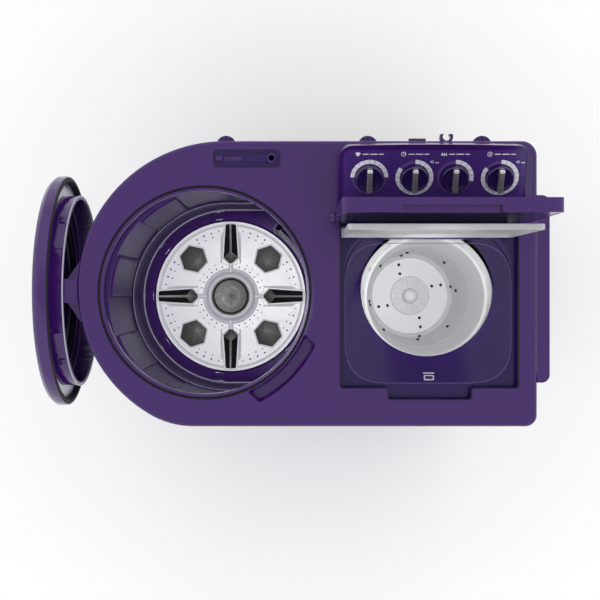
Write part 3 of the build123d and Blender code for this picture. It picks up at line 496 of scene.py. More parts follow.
def brick(low, high):
    """Points and faces of a block between two corners, for pieces made of many bars."""
    (x0, y0, z0), (x1, y1, z1) = low, high
    return upright([(x0, y0), (x1, y0), (x1, y1), (x0, y1)], z0, z1)


def oblong(x0, x1, y0, y1, radius, steps=5):
    """A rounded rectangle."""
    return rounded([(x0, y0), (x1, y0), (x1, y1), (x0, y1)], radius * 1.25, steps)


def soften(piece, width):
    """Weld a mesh and ease its sharp edges, as the radius of a mould does."""
    weld = piece.modifiers.new("weld", "WELD")
    weld.merge_threshold = 0.00001
    edge = piece.modifiers.new("eased_edges", "BEVEL")
    edge.width = width
    edge.segments = 3
    edge.limit_method = "ANGLE"
    edge.angle_limit = math.radians(35)
    edge.use_clamp_overlap = True
    edge.harden_normals = True
    return piece


def dress(node, material, width=None):
    """Give a CAD node its material, and eased edges where a width is given."""
    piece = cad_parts[node]
    piece.data.materials.clear()
    piece.data.materials.append(material)
    if width:
        soften(piece, width)


def settle(piece, body, slot, *nodes):
    """Fasten a piece to its body and hide the CAD nodes that it stands for; slot is not used."""
    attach(piece, body)
    if nodes:
        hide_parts(*nodes)
    return piece


# ---------------------------------------------------------------- body


def footprint(inset):
    """Outline of the machine seen from above, moved inwards."""
    r, blend = BOW_R - inset, FRONT_BLEND - inset
    front, right, back = PLATE_LOW.y + inset, PLATE_HIGH.x - inset, PLATE_HIGH.y - inset
    drop = front + blend - BOW.y
    turn = math.degrees(math.atan2(drop, -math.sqrt((r - blend) ** 2 - drop**2))) + 360
    heart = (BOW.x + (r - blend) * math.cos(math.radians(turn)), front + blend)
    outline = arc_points(BOW, r, 90, turn, 72)
    outline += arc_points(heart, blend, turn, 270, 16)[1:]
    near, far = 20.0 - min(inset, 12), 26.0 - min(inset, 12)
    for i in range(1, 12):
        outline.append((heart[0] + (right - near - heart[0]) * i / 12, front))
    outline += arc_points((right - near, front + near), near, -90, 0, 8)
    outline += arc_points((right - far, back - far), far, 0, 90, 8)
    for i in range(1, 12):
        outline.append((right - far + (BOW.x - right + far) * i / 12, back))
    return outline


# Height and inset of each level of the body shell
CABINET_STATIONS = (
    (24, 12), (24, 8.2), (26, 6.6), (30, 6.0), (62, 5.6), (66, 5.8), (68, 7.5), (70, 8.4), (74, 8.4),
    (76, 7.4), (78, 5.8), (84, 5.2), (200, 4.8), (420, 4.6), (640, 4.8), (776, 5.2), (782, 5.6),
    (784, 6.8), (786, 7.6), (790, 7.6), (792, 6.8), (794, 5.6), (800, 5.2), (864, 5.2), (864, 8.2),
    (30, 12),
)


def cabinet_skin():
    """Body shell with a plinth line below, a shadow groove under the top moulding and a slight draft."""
    rings = []
    for height, inset in CABINET_STATIONS:
        rings.append([(x, y, height) for x, y in footprint(inset)])
    return mesh_piece("cabinet_body", *skin(rings, loop=True), polished_abs(), 30)


class WASHER_OT_body(bpy.types.Operator):
    """Cabinet, top moulding, base, feet, back cover and the fittings on the back edge"""
    bl_idname = "washer.body"
    bl_label = "Body"

    def execute(self, context):
        edge, fine = settings("sizes").shell_edge, settings("sizes").fine_edge
        settle(cabinet_skin(), "cabinet", "purple_shell", "cabinet_shell")
        dress("top_frame", polished_abs(), edge * 0.5)
        dress("side_grip", polished_abs(), edge)
        for node in ("back_spacers", "back_tab", "hose_clip", "wash_lid_hook"):
            dress(node, polished_abs(), fine)
        for node in ("base_frame", "back_cover"):
            dress(node, grained_polypropylene(), fine)
        for node in ("feet", "cord_gland"):
            dress(node, moulded_rubber(), fine)
        dress("back_cover_screws", zinc_steel(), fine)
        return {"FINISHED"}


# ---------------------------------------------------------------- wash side


def tub_ring(radius, right, height, sway=0.0, circle=0.0, round_r=0.0):
    """One level of the wash tub: a half circle running on to a squarer right end.

    sway moves alternate panels of the round side in; circle blends the level into a circle of round_r.
    """
    cx, cy = PULSATOR.x, PULSATOR.y
    corner = min(60.0, radius * 0.5)
    outline = arc_points((cx, cy), radius, 90, 270, 240)
    outline += [(cx + (right - corner - cx) * i / 12, cy - radius) for i in range(1, 12)]
    outline += arc_points((right - corner, cy - radius + corner), corner, -90, 0, 12)
    outline += [(right, cy - radius + corner + (2 * radius - 2 * corner) * i / 16) for i in range(1, 16)]
    outline += arc_points((right - corner, cy + radius - corner), corner, 0, 90, 12)
    outline += [(right - corner + (cx - right + corner) * i / 12, cy + radius) for i in range(1, 12)]
    ring = []
    for x, y in outline:
        away = Vector((x - cx, y - cy))
        angle = math.degrees(math.atan2(away.y, away.x)) % 360
        if sway and ROUND_FROM < angle < ROUND_TO:
            away *= 1 - sway * panel_step(angle) / away.length
        away = away.lerp(away.normalized() * round_r, circle)
        ring.append((cx + away.x, cy + away.y, height))
    return ring


def panel_step(angle):
    """0 to 1 across the panels of the tub's round side, with a short grooved slope at each crease."""
    count = settings("sizes").crease_count
    turn = (angle - ROUND_FROM) / ((ROUND_TO - ROUND_FROM) / count)
    index, share = int(turn), turn - int(turn)
    height = index % 2
    slope, groove = 0.06, 0.55
    if share > 1 - slope:
        t = (share - 1 + slope) / slope
        height = height * (1 - t) + ((index + 1) % 2) * t + groove
    return height


# Levels of the wash tub from the rim down: how far the round side and the right end stand in, the
# depth under the rim, then the panels' sway, the share of a true circle and that circle's radius
TUB_LEVELS = (
    (-10, -10, 0), (-1, -1, 0), (0.5, 0, 2), (1, 0.5, 12), (1.5, 1, 18, 3.0), (5, 4, 120, 4.0),
    (7, 7, 205, 4.0), (8, 8, 212, 0.5), (8.5, 8.5, 216), (11.5, 10, 222), (12.5, 10.5, 221),
    (13.8, 11, 222.5), (14, 11.5, 226), (11.5, 9, 229), (12, 9.5, 250), (16, 14, 318),
    (16.5, 14.4, 324), (17.5, 15.2, 327), (19, 16.4, 328), (20.5, 17.5, 329.5),
    (22, 20, 333, 0, 0.2, 170), (30, 26, 341, 0, 0.8, 164), (36, 30, 345, 0, 1, 158),
    (38, 32, 347, 0, 1, 156.5), (38, 32, 355, 0, 1, 156.2),
)
# The same for the floor and its underside, with heights above the floor
TUB_FLOOR_LEVELS = (
    (38, 32, 2, 0, 1, 156), (40, 34, 0, 0, 1, 153), (40, 34, 0, 0, 1, 30), (40, 34, -3, 0, 1, 30),
    (12, 8, -3),
)
# The outer side, back up to the rim
TUB_OUTER_LEVELS = ((9, 6, 236), (-2.5, -2.5, 230), (-2.5, -2.5, 3), (-10, -10, 3))


def wash_tub_skin():
    """Wash tub: panelled upper wall, ledge, lower wall, second ridge and the floor under the pulsator."""
    top, floor = TUB_HIGH.z, TUB_LOW.z + 3
    rings = [tub_ring(TUB_R - side, TUB_RIGHT - end, top - drop, *more)
             for side, end, drop, *more in TUB_LEVELS]
    rings += [tub_ring(TUB_R - side, TUB_RIGHT - end, floor + rise, *more)
              for side, end, rise, *more in TUB_FLOOR_LEVELS]
    rings += [tub_ring(TUB_R - side, TUB_RIGHT - end, top - drop)
              for side, end, drop in TUB_OUTER_LEVELS]
    return mesh_piece("wash_tub_shell", *skin(rings, loop=True), tub_polypropylene(), 24)


def ridge_clips():
    """Thin raised outlines of the snap pockets that cross the lower ridge."""
    parts = []
    for angle in POCKET_ANGLES:
        wall = []
        for x, y in oblong(-16.2, 16.2, 0, 15, 5):
            spot = polar(PULSATOR, TUB_R - 21.0 - y, angle + math.degrees(x / 172.0))
            wall.append((spot, TUB_HIGH.z - 330 - y * 0.95))
        heart = Vector((sum(p[0][0] for p in wall), sum(p[0][1] for p in wall))) / len(wall)
        rings = []
        for spread, lift in ((0.0, -2.0), (0.0, 0.9), (0.9, 0.9), (0.9, -2.0)):
            ring = []
            for spot, level in wall:
                away = Vector(spot) - heart
                inner = heart + away * (1 - spread / away.length)
                ring.append((inner.x, inner.y, level + lift))
            rings.append(ring)
        parts.append(skin(rings, loop=True))
    return mesh_piece("tub_clip_outlines", *join(parts), well_abs(), 40)


def ridge_bead(name, radius, right, level, thick):
    """A rounded ridge that runs round the wash tub at one level, painted pale as a highlight."""
    rings = []
    for step in range(8):
        angle = 2 * math.pi * step / 8
        draw = thick * math.cos(angle)
        rings.append(tub_ring(radius + draw, right + draw, level + thick * math.sin(angle)))
    return mesh_piece(name, *skin(rings, loop=True), ridge_highlight_violet(), 50)


def wall_reach(angle, inset):
    """Distance from the pulsator's axis to the tub's wall at an angle in degrees."""
    def miss(point):
        away = math.degrees(math.atan2(point[1] - PULSATOR.y, point[0] - PULSATOR.x))
        return abs(away - angle)
    nearest = min(tub_ring(TUB_R - inset, TUB_RIGHT - inset, 0), key=miss)
    return math.hypot(nearest[0] - PULSATOR.x, nearest[1] - PULSATOR.y)


def duct_cheeks():
    """Two upright walls that hold the lint filter and close the overflow duct at its sides."""
    top = place("lint_filter")[1].z
    parts = []
    for first, last in CHEEK_ANGLES:
        rings = []
        for level, inset in ((538, 20), (546, 14), (645, 10), (650, 6), (top, 5)):
            wall = wall_reach((first + last) / 2, inset)
            corners = ((CHEEK_R, first), (wall, first), (wall, last), (CHEEK_R, last))
            rings.append([(*polar(PULSATOR, reach, angle), level) for reach, angle in corners])
        parts.append(skin(rings, caps=True))
    return soften(mesh_piece("tub_duct_cheeks", *join(parts), tub_polypropylene(), 30, weld=False), 0.6 * MM)


def filter_lattice():
    """Curved lattice of square windows over the overflow duct, in a frame."""
    low, high = place("lint_filter")
    pitch = settings("sizes").lattice_pitch / MM
    inner, start, end = LATTICE_R, LATTICE_FROM, LATTICE_TO
    parts = []
    steps = 30

    def bar(r0, r1, a0, a1, z0, z1, cuts):
        rings = []
        for i in range(cuts + 1):
            angle = a0 + (a1 - a0) * i / cuts
            corners = ((r0, z0), (r1, z0), (r1, z1), (r0, z1))
            rings.append([(*polar(PULSATOR, r, angle), z) for r, z in corners])
        return skin(rings, caps=True)

    rows = int((high.z - low.z - 20) / pitch)
    for row in range(rows + 1):
        z = low.z + 10 + row * pitch
        parts.append(bar(inner + 0.6, inner + 2.4, start, end, z - 0.9, z + 0.9, steps))
    columns = int(math.radians(end - start) * inner / pitch)
    for column in range(columns + 1):
        angle = start + (end - start) * column / columns
        parts.append(bar(inner + 0.2, inner + 3, angle - 0.32, angle + 0.32, low.z + 6, high.z - 6, 1))
    for a0, a1 in ((start - 1, start + 1.2), (end - 1.2, end + 1)):
        parts.append(bar(inner, inner + 3.5, a0, a1, low.z + 1, high.z - 1, 2))
    for z0, z1 in ((low.z + 1, low.z + 9), (high.z - 9, high.z - 1)):
        parts.append(bar(inner, inner + 3.5, start - 1, end + 1, z0, z1, steps))
    return mesh_piece("lint_filter_lattice", *join(parts), filter_polypropylene(), 30, weld=False)


class WASHER_OT_wash_tub(bpy.types.Operator):
    """Wash tub with its panels, ridges, pockets and duct cheeks, the lint filter, and a black ring in the
    seat groove that is a painted shadow
    """
    bl_idname = "washer.wash_tub"
    bl_label = "Wash Tub"

    def execute(self, context):
        settle(wash_tub_skin(), "cabinet", "tub_plastic", "wash_tub")
        settle(ridge_clips(), "cabinet", "dark_purple")
        # Both ridges carry a painted highlight: their pale colour stands for light on their rounded tops.
        for name, inset, right_inset, drop, thick in (("tub_ridge_upper", 12.4, 10.4, 221.4, 1.1),
                                                      ("tub_ridge_lower", 18.6, 16.0, 327.6, 1.7)):
            bead = ridge_bead(name, TUB_R - inset, TUB_RIGHT - right_inset, TUB_HIGH.z - drop, thick)
            settle(bead, "cabinet", "tub_plastic")
        settle(duct_cheeks(), "cabinet", "tub_plastic")
        # Painted shade: a black ring fills the seat groove and stands for the shadow deep inside it.
        seal = rounded([(SEAT_R0, PLATE_TOP - 8.2), (SEAT_R0, PLATE_TOP - 4.5), (SEAT_R1, PLATE_TOP - 2.5),
                        (SEAT_R1, PLATE_TOP - 8.2)], 0.8, 3)
        settle(lathe("wash_seat_shadow_ring", seal, WASH_MOUTH, moulded_rubber(), 160), "cabinet", "black_rubber")
        settle(filter_lattice(), "filter", "filter_grey", "lint_filter")
        return {"FINISHED"}


def quarter_turns(part, offset=0.0):
    """Four copies of a part around the pulsator's axis, given with the axis at the origin."""
    return [moved(part, turned(PULSATOR, 90 * quarter + offset)) for quarter in range(4)]


def blade_outline(grow=0.0):
    """Plan of one blade along +X, pointed towards the hub."""
    r = PULSATOR_R
    side = [(0.44 * r - grow, -2.2), (0.52 * r - grow * 0.4, -0.098 * r - grow),
            (0.965 * r + grow, -0.069 * r - grow)]
    return rounded(side + [(x, -y) for x, y in reversed(side)], 2.0 + grow * 0.6, 3)


def boss_outline(grow=0.0):
    """Plan of one six-sided boss, out along +X."""
    centre = (0.707 * PULSATOR_R, 0.0)
    return rounded([polar(centre, 0.186 * PULSATOR_R + grow, 33 + 60 * i) for i in range(6)], 1.2, 2)


def frame_band(outer, inner, low, high):
    """A raised border between two outlines with the same number of points."""
    inside = [((a[0] + b[0]) / 2, (a[1] + b[1]) / 2) for a, b in zip(outer, inner)]
    rings = [[(x, y, low) for x, y in outer], [(x, y, high - 0.6) for x, y in outer],
             [(x, y, high) for x, y in inside], [(x, y, high - 0.3) for x, y in inner],
             [(x, y, low) for x, y in inner]]
    return skin(rings, loop=True)


def pulsator_relief():
    """Light grey relief on the pulsator: borders and shoulders of the blades, spokes, collar and rim."""
    z, r = PULSATOR_FACE, PULSATOR_R
    parts = quarter_turns(frame_band(blade_outline(3.4), blade_outline(0.4), z - 0.5, z + 4.2))
    parts += quarter_turns(frame_band(boss_outline(3.2), boss_outline(0.3), z - 0.5, z + 1.8), 45)
    for side in (-1, 1):
        rings = []
        for i in range(21):
            share = i / 20
            x = 0.40 * r + (0.93 - 0.40) * r * share
            edge = 0.5 * 0.098 * r if share < 0.1 else 0.098 * r + 3 - 0.02 * r * share
            reach = edge + 5 + 4 * share
            swell = math.sin(math.pi * min(share * 1.15, 1.0)) ** 0.5
            slope = [(x, side * (edge + (reach - edge) * j / 6), z - 0.3 + 3.2 * swell * (1 - j / 6) ** 2)
                     for j in range(7)]
            rings.append(slope + [(x, side * reach, z - 0.6), (x, side * edge, z - 0.6)])
        parts += quarter_turns(skin(rings, caps=True))
    arch = [math.pi * k / 10 for k in range(11)]
    spoke = [[(x, 5.2 * math.cos(a), z - 0.5 + 4.6 * lift * math.sin(a)) for a in arch]
             for x, lift in ((44, 1.0), (56, 0.95), (64, 0.8), (70, 0.5))]
    parts += quarter_turns(skin(spoke, caps=True))
    relief = mesh_piece("pulsator_relief", *join(parts), pulsator_abs(), 34)
    collar = rounded([(39.2, z + 2), (39.2, z + 9.5), (42, z + 11.8), (46.5, z + 9.5), (51, z + 2.4),
                      (58, z + 0.2), (58, z - 0.6), (39.2, z - 0.6)], 2.2, 4)
    ring = lathe("pulsator_collar", collar, PULSATOR, pulsator_abs())
    edge = rounded([(r - 10, z - 0.4), (r - 8, z + 1.6), (r - 4, z + 2.9), (r - 1.0, z + 2.2), (r - 0.2, z),
                    (r - 0.2, z - 1.8), (r - 10, z - 1.8)], 1.2, 3)
    lip = lathe("pulsator_lip", edge, PULSATOR, pulsator_abs())
    return relief, ring, lip


def blade_solid():
    """One dark blade: a long faceted ridge that falls to its point."""
    z, r = PULSATOR_FACE, PULSATOR_R
    outline = blade_outline()
    low = [(x, y, z - 0.5) for x, y in outline]
    shoulder = [(x, y * 0.97, z + 4.0) for x, y in outline]
    crest = []
    for x, y in outline:
        along = min(max((x - 0.5 * r) / (0.2 * r), 0), 1)
        crest.append((0.51 * r + (x - 0.44 * r) * 0.86, y * 0.16, z + 7.0 + 7.0 * along))
    return skin([low, shoulder, crest], caps=True)


def boss_solid():
    """One dark six-sided boss with six facets and its peak towards the hub."""
    z, r = PULSATOR_FACE, PULSATOR_R
    outline = boss_outline()
    low = [(x, y, z - 0.5) for x, y in outline]
    edge = [(x, y, z + 1.2) for x, y in outline]
    peak = Vector((0.707 * r - 0.05 * r, -0.01 * r))
    upper = [(*peak.lerp(Vector(p), 0.02), z + 6.0) for p in outline]
    return skin([low, edge, upper], caps=True)


def hub_cap():
    """Dark cap over the hub screw: a polished rim, a dished face and a ring of small pips."""
    z = PULSATOR_FACE
    face = rounded([(0.01, z - 0.3), (38.6, z - 0.3), (38.6, z + 9), (36.5, z + 10.6), (34.8, z + 9.4),
                    (33.5, z + 8.6), (20, z + 7.6), (0.01, z + 7.2)], 1.4, 3)
    cap = lathe("pulsator_hub_cap", face, PULSATOR, filled_nylon(), 128)
    pip = prism(oblong(8.0, 12.5, -1.1, 1.1, 0.9, 3), z + 7.0, z + 8.3, 0.4)
    ring = [moved(pip, turned(PULSATOR, 30 * index)) for index in range(12)]
    pips = mesh_piece("pulsator_hub_pips", *join(ring), grip_satin(), 30)
    return cap, pips


class WASHER_OT_pulsator(bpy.types.Operator):
    """Pulsator plate with its blades, bosses, collar and hub cap"""
    bl_idname = "washer.pulsator"
    bl_label = "Pulsator"

    def execute(self, context):
        dress("pulsator_disc", pulsator_abs())
        dress("pulsator_shaft", zinc_steel())
        for piece in pulsator_relief():
            settle(piece, "pulsator", "pulsator_grey")
        blades = quarter_turns(blade_solid()) + quarter_turns(boss_solid(), 45)
        inserts = mesh_piece("pulsator_inserts", *join(blades), filled_nylon(), 18)
        settle(inserts, "pulsator", "pulsator_dark", "pulsator_blades")
        cap, pips = hub_cap()
        settle(cap, "pulsator", "pulsator_dark", "pulsator_cap")
        settle(pips, "pulsator", "pulsator_dark")
        return {"FINISHED"}


def lid_tabs(tip):
    """Four plug-in tabs round the lid's ring, each with a rib behind it."""
    parts = []
    for index in range(4):
        turn = Matrix.Rotation(math.radians(45 + 90 * index), 4, "X")
        stand = Matrix.Translation((0, LID_AXIS.y, LID_AXIS.z)) @ turn
        parts.append(moved(brick((tip - 17, 177.5, -7), (tip - 7, 180.4, 7)), stand))
        parts.append(moved(brick((tip - 20, 177.5, -16), (tip - 18, 181.5, 16)), stand))
    return soften(mesh_piece("lid_ring_tabs", *join(parts), polished_abs(), 30, weld=False), 0.6 * MM)


def lid_screw_hole_shadows():
    """Black discs at the screw holes near the top and the bottom of the lid's inner panel, as (angle, size):
    a painted shadow of the holes.
    """
    face = place("wash_lid_backing")[1].x
    parts = []
    for angle, size in ((-97, 1.8), (-90, 3.0), (-82, 1.8), (84, 1.8)):
        y, z = polar((LID_AXIS.y, LID_AXIS.z), 196, angle + 90)
        dot = prism(arc_points((0, 0), size, 0, 345, 23), -0.8, 0.3, 0.1)
        parts.append(moved(dot, Matrix.Translation((face, y, z)) @ Matrix.Rotation(math.pi / 2, 4, "Y")))
    return mesh_piece("lid_screw_hole_shadows", *join(parts), moulded_rubber(), 30)


class WASHER_OT_wash_lid(bpy.types.Operator):
    """Wash lid: rim, window and its trim, plug-in ring with lip and tabs, inner panel and gasket"""
    bl_idname = "washer.wash_lid"
    bl_label = "Wash Lid"

    def execute(self, context):
        fine = settings("sizes").fine_edge
        dress("wash_lid_rim", polished_abs(), settings("sizes").shell_edge)
        dress("wash_lid_window", smoked_polycarbonate())
        dress("wash_lid_ring", polished_abs(), fine)
        dress("wash_lid_backing", white_abs(), fine)
        dress("wash_lid_gasket", moulded_rubber(), fine)
        tip = RING_HIGH.x
        lip = rounded([(171.8, tip - 3), (171.8, tip - 0.6), (175.5, tip - 0.1), (179.2, tip - 0.6),
                       (179.2, tip - 3)], 1.1, 3)
        settle(lathe("lid_lip", lip, LID_AXIS, lip_elastomer(), 160, "X"), "wash_lid", "white_plastic")
        settle(lid_tabs(tip), "wash_lid", "dark_purple")
        settle(lid_screw_hole_shadows(), "wash_lid", "white_plastic")
        back = LID_LOW.x
        trim = rounded([(161.5, back + 6), (161.5, back + 15), (173.5, back + 15), (173.5, back + 12),
                        (165, back + 6)], 1.4, 3)
        settle(lathe("lid_window_trim", trim, LID_AXIS, polished_abs(), 160, "X"), "wash_lid", "dark_purple")
        return {"FINISHED"}


# ---------------------------------------------------------------- spin side


def latch_slot():
    """Small latch bracket in the front slope of the spin well: a rectangle and a bar above it, pale as a
    painted highlight, and a dark block in the rectangle that is a painted shadow of its hole.
    """
    stand = Matrix.Translation((BASKET.x + 2, WELL_LOW.y + 39.4, WELL_HIGH.z - 22.4))
    lean = stand @ Matrix.Rotation(math.radians(-27), 4, "X")
    ring = frame_band(oblong(-9, 9, -5, 5, 2.0), oblong(-7, 7, -3, 3, 1.4), -2, 1.2)
    bar = prism(oblong(-10, 10, 7.5, 9.5, 0.9), -2, 1.2, 0.3)
    hole = prism(oblong(-6.4, 6.4, -2.4, 2.4, 1.0), -2, 0.4, 0.2)
    return (mesh_piece("spin_latch", *moved(join([ring, bar]), lean), ridge_highlight_violet(), 30),
            mesh_piece("spin_latch_hole_shadow", *moved(hole, lean), grained_polypropylene(), 30))


def basket_hub():
    """Raised hub of the basket: an eight-petal rib pattern round the shaft nut."""
    outer = rounded([(13, -1.5), (32, -9), (35, 0), (32, 9), (13, 1.5)], 3.0, 3)
    inner = rounded([(16, -0.8), (31, -6.6), (33, 0), (31, 6.6), (16, 0.8)], 2.4, 3)
    petal = frame_band(outer, inner, BASKET_FLOOR - 0.4, BASKET_FLOOR + 3.4)
    petals = [moved(petal, turned(BASKET, 22.5 + 45 * index)) for index in range(8)]
    return mesh_piece("basket_petals", *join(petals), basket_polypropylene(), 30)


def basket_turnings():
    """Turned parts of the basket: hub skirt, two beads inside the wall, the rolled rim and the nut's cap."""
    floor, top = BASKET_FLOOR, BASKET_HIGH.z
    hub = [(8.2, floor - 0.4), (8.2, floor + 12), (13.6, floor + 11.2), (15.5, floor + 3),
           (38, floor + 1.6), (41, floor - 0.4)]
    shapes = [("basket_hub_ring", rounded(hub, 1.6, 4), 144)]
    for name, radius, rise in (("basket_step_low", 79.0, 4.0), ("basket_step_high", 95.6, 171.0)):
        level = floor + rise
        bead = [(radius, level - 2), (radius + 5, level - 2), (radius + 5, level + 2),
                (radius + 1, level + 1)]
        shapes.append((name, rounded(bead, 1.3, 3), 144))
    rim = [(104, top - 11), (104.6, top - 2), (108, top), (116, top), (119.5, top - 3), (119.5, top - 8),
           (106, top - 11)]
    shapes.append(("basket_rim", rounded(rim, 2.4, 4), 160))
    cap = [(0.01, floor + 9.2), (13.5, floor + 9.2), (13.5, floor + 12), (9, floor + 13.6),
           (0.01, floor + 14)]
    shapes.append(("basket_nut_cap", rounded(cap, 0.8, 3), 96))
    return [lathe(name, profile, BASKET, basket_polypropylene(), segments)
            for name, profile, segments in shapes]


def drain_hole_shadows():
    """Black discs in the basket's drain holes, leaning up so that they show from above: a painted shadow of
    the holes.
    """
    low, high = BASKET_LOW.z + 14, BASKET_HIGH.z - 12
    dot = prism(arc_points((0, 0), 3.2, 0, 345, 23), -3.4, 2.2, 0.5)
    lean = Matrix.Rotation(math.radians(-32), 4, "Y")
    parts = []
    for quarter in range(4):
        for level, angle in ((low + 4, 102.7), (572.0, 97.0), (600.0, 48.0)):
            reach = 85 + 20 * (level - low) / (high - low)
            stand = turned(BASKET, angle + 90 * quarter) @ Matrix.Translation((reach, 0, level))
            parts.append(moved(dot, stand @ lean))
    return mesh_piece("basket_drain_grommets", *join(parts), moulded_rubber(), 30)


def well_shadow_line():
    """Dark line round the top of the spin well, where it meets the top moulding: a painted shadow of the gap
    there.
    """
    rings = []
    for inset, drop in ((0.15, 5.0), (0.15, 0.3), (1.6, 0.6), (1.6, 5.0)):
        wall = WELL_WALL + inset
        x0, x1 = WELL_LOW.x + wall, WELL_HIGH.x - wall
        t0, t1 = WELL_BAY_X0 + inset, WELL_BAY_X1 - inset
        front, y0, y1 = WELL_LOW.y + wall, WELL_LOW.y + WELL_BAY_REACH + wall, WELL_HIGH.y - wall
        corners = [(x0, y1), (x0, y0), (t0, y0), (t0, front), (t1, front), (t1, y0), (x1, y0), (x1, y1)]
        rings.append([(x, y, PLATE_TOP - drop) for x, y in rounded(corners, 7, 4)])
    return mesh_piece("spin_well_seal", *skin(rings, loop=True), moulded_rubber(), 30)


def funnel_edge_highlight():
    """Thin pale edge where the spin well's ledge turns down into the funnel: a painted highlight."""
    rings = []
    for inset, rise in ((-0.5, -0.6), (-0.5, 0.5), (0.5, 0.5), (0.5, -0.6)):
        side = 12.5 + inset
        outline = oblong(WELL_LOW.x + side, WELL_HIGH.x - side, WELL_LOW.y + 30.4 + inset,
                         WELL_LOW.y + 276 - inset, FUNNEL_CORNER, 10)
        rings.append([(x, y, WELL_LEDGE + rise) for x, y in outline])
    return mesh_piece("funnel_edge_highlight", *skin(rings, loop=True), pale_violet_highlight(), 30)


class WASHER_OT_spin_side(bpy.types.Operator):
    """Spin well with the painted shadow line round it, its latch and funnel edge, the basket, and the still
    tub around it
    """
    bl_idname = "washer.spin_side"
    bl_label = "Spin Side"

    def execute(self, context):
        edge, fine = settings("sizes").shell_edge, settings("sizes").fine_edge
        dress("spin_well", well_abs(), edge * 0.6)
        for piece in latch_slot():
            settle(piece, "cabinet", "dark_purple")
        dress("spin_basket", basket_polypropylene())
        dress("spin_outer_tub", grained_polypropylene())
        settle(well_shadow_line(), "cabinet", "black_rubber")
        settle(drain_hole_shadows(), "basket", "black_rubber")
        for piece in (basket_hub(), *basket_turnings()):
            settle(piece, "basket", "white_plastic")
        dress("spin_shaft", zinc_steel(), fine)
        settle(funnel_edge_highlight(), "cabinet", "dark_purple")
        return {"FINISHED"}


def cover_rails():
    """Raised rails round the inner side of the spin lid."""
    x0, x1 = COVER_LOW.x + 18, COVER_HIGH.x - 18
    z0, z1 = COVER_LOW.z + 32, COVER_HIGH.z - 30
    outer, inner = oblong(x0, x1, z0, z1, 10), oblong(x0 + 5, x1 - 5, z0 + 5, z1 - 5, 7)
    stand = Matrix(((1, 0, 0, 0), (0, 0, -1, COVER_LOW.y + 2.6), (0, 1, 0, 0), (0, 0, 0, 1)))
    return mesh_piece("spin_lid_rails", *moved(frame_band(outer, inner, 0.0, 2.4), stand), well_abs(), 30)


class WASHER_OT_spin_lids(bpy.types.Operator):
    """Spin lid with its liner and rails, the clear safety lid with its tab, and the hinge pins"""
    bl_idname = "washer.spin_lids"
    bl_label = "Spin Lids"

    def execute(self, context):
        edge, fine = settings("sizes").shell_edge, settings("sizes").fine_edge
        dress("spin_lid_shell", polished_abs(), edge)
        dress("spin_lid_liner", well_abs(), fine)
        settle(cover_rails(), "spin_lid", "dark_purple")
        dress("spin_inner_lid", frosted_styrene(), fine)
        centre = (SAFETY_LOW.x + SAFETY_HIGH.x) / 2
        tab = prism(oblong(centre - 3.5, centre + 3.5, 0, 20, 1.6), 0, 2.2, 0.5)
        stand = Matrix(((1, 0, 0, 0), (0, 0, 1, SAFETY_LOW.y + 0.2), (0, 1, 0, SAFETY_HIGH.z - 22),
                        (0, 0, 0, 1)))
        settle(mesh_piece("safety_lid_tab", *moved(tab, stand), white_abs(), 30), "safety_lid", "clear_grey")
        for node in ("spin_lid_hinge_pins", "inner_lid_hinge_pins"):
            dress(node, zinc_steel(), fine)
        return {"FINISHED"}


# ---------------------------------------------------------------- controls


def fascia_matrix():
    """From fascia coordinates (across, up the slope, out of it) to the machine's."""
    height = PLATE_TOP + FASCIA_RISE + FASCIA_SETBACK * math.tan(FASCIA_TILT)
    stand = Matrix.Translation((0, PANEL_LOW.y + FASCIA_SETBACK, height))
    return stand @ Matrix.Rotation(FASCIA_TILT, 4, "X")


FASCIA = fascia_matrix()
# Each knob's node, its body, where its printed scale starts and ends in degrees, and its icon
KNOBS = (
    ("fabric_knob", "fabric_selector", 0, 180, "shirt"),
    ("wash_timer_knob", "wash_timer", -216, 90, "clock"),
    ("drain_knob", "drain_selector", -13, 90, "drops"),
    ("dry_timer_knob", "dry_timer", -216, 90, "swirl"),
)
# Plain bars that stand for words: how far each starts from the first, and its width
WORD_BARS = ((0, 10), (12, 13), (27, 8))


def knob_parts(x):
    """Skirt with a finely fluted edge, and the spindle under it."""
    profile = rounded([(0.01, 7.4), (17, 7.4), (19, 9.4), (21.5, 9.6), (KNOB_R - 0.4, 7.5), (KNOB_R, 0.6),
                       (KNOB_R - 1, -0.2), (3.0, -0.2), (3.0, -23), (0.01, -23)], 1.0, 3)
    rings = []
    for step in range(180):
        flute = 0.25 * math.cos(math.radians(120 * step))
        ring = []
        for radius, height in profile:
            reach = radius + (flute if radius > 21.5 and height < 8 else 0)
            ring.append((*polar((x, 0), reach, 2 * step), height))
        rings.append(ring)
    return moved(skin(rings, loop=True), FASCIA)


def grip_parts(x):
    """Grip bar: waisted in plan, crowned along its length."""
    end = KNOB_R - 1.6
    outline = rounded([(-5.0, -end), (5.0, -end), (4.2, 0), (5.0, end), (-5.0, end), (-4.2, 0)], 4.0, 5)
    rings = []
    for share, height in ((1.0, 6.5), (1.0, 17), (0.96, 18.6), (0.88, 19.8), (0.74, 20.6), (0.4, 20.9)):
        rings.append([(x + px * share, py * (1 - (1 - share) * 0.25), height - 0.004 * py * py * (share < 1))
                      for px, py in outline])
    return moved(skin(rings, caps=True), FASCIA)


def pointer_parts(x):
    """White pointer cap on the upper end of a knob's grip."""
    cap = prism(oblong(x - 4.3, x + 4.3, 15.6, KNOB_R - 2.0, 1.8, 4), 18.0, 20.4, 0.7)
    return moved(cap, FASCIA)


def flat_mark(outline, height=0.5):
    """A flat mark on the fascia: print, or the painted highlight of a dial ring."""
    return moved(upright(outline, PRINT_BED, PRINT_BED + height), FASCIA)


def ring_mark(x, y, outer, inner):
    """A printed ring on the fascia."""
    top = PRINT_BED + 0.5
    rings = []
    for radius, z in ((outer, PRINT_BED), (outer, top), (inner, top), (inner, PRINT_BED)):
        rings.append([(*polar((x, y), radius, 15 * k), z) for k in range(24)])
    return moved(skin(rings, loop=True), FASCIA)


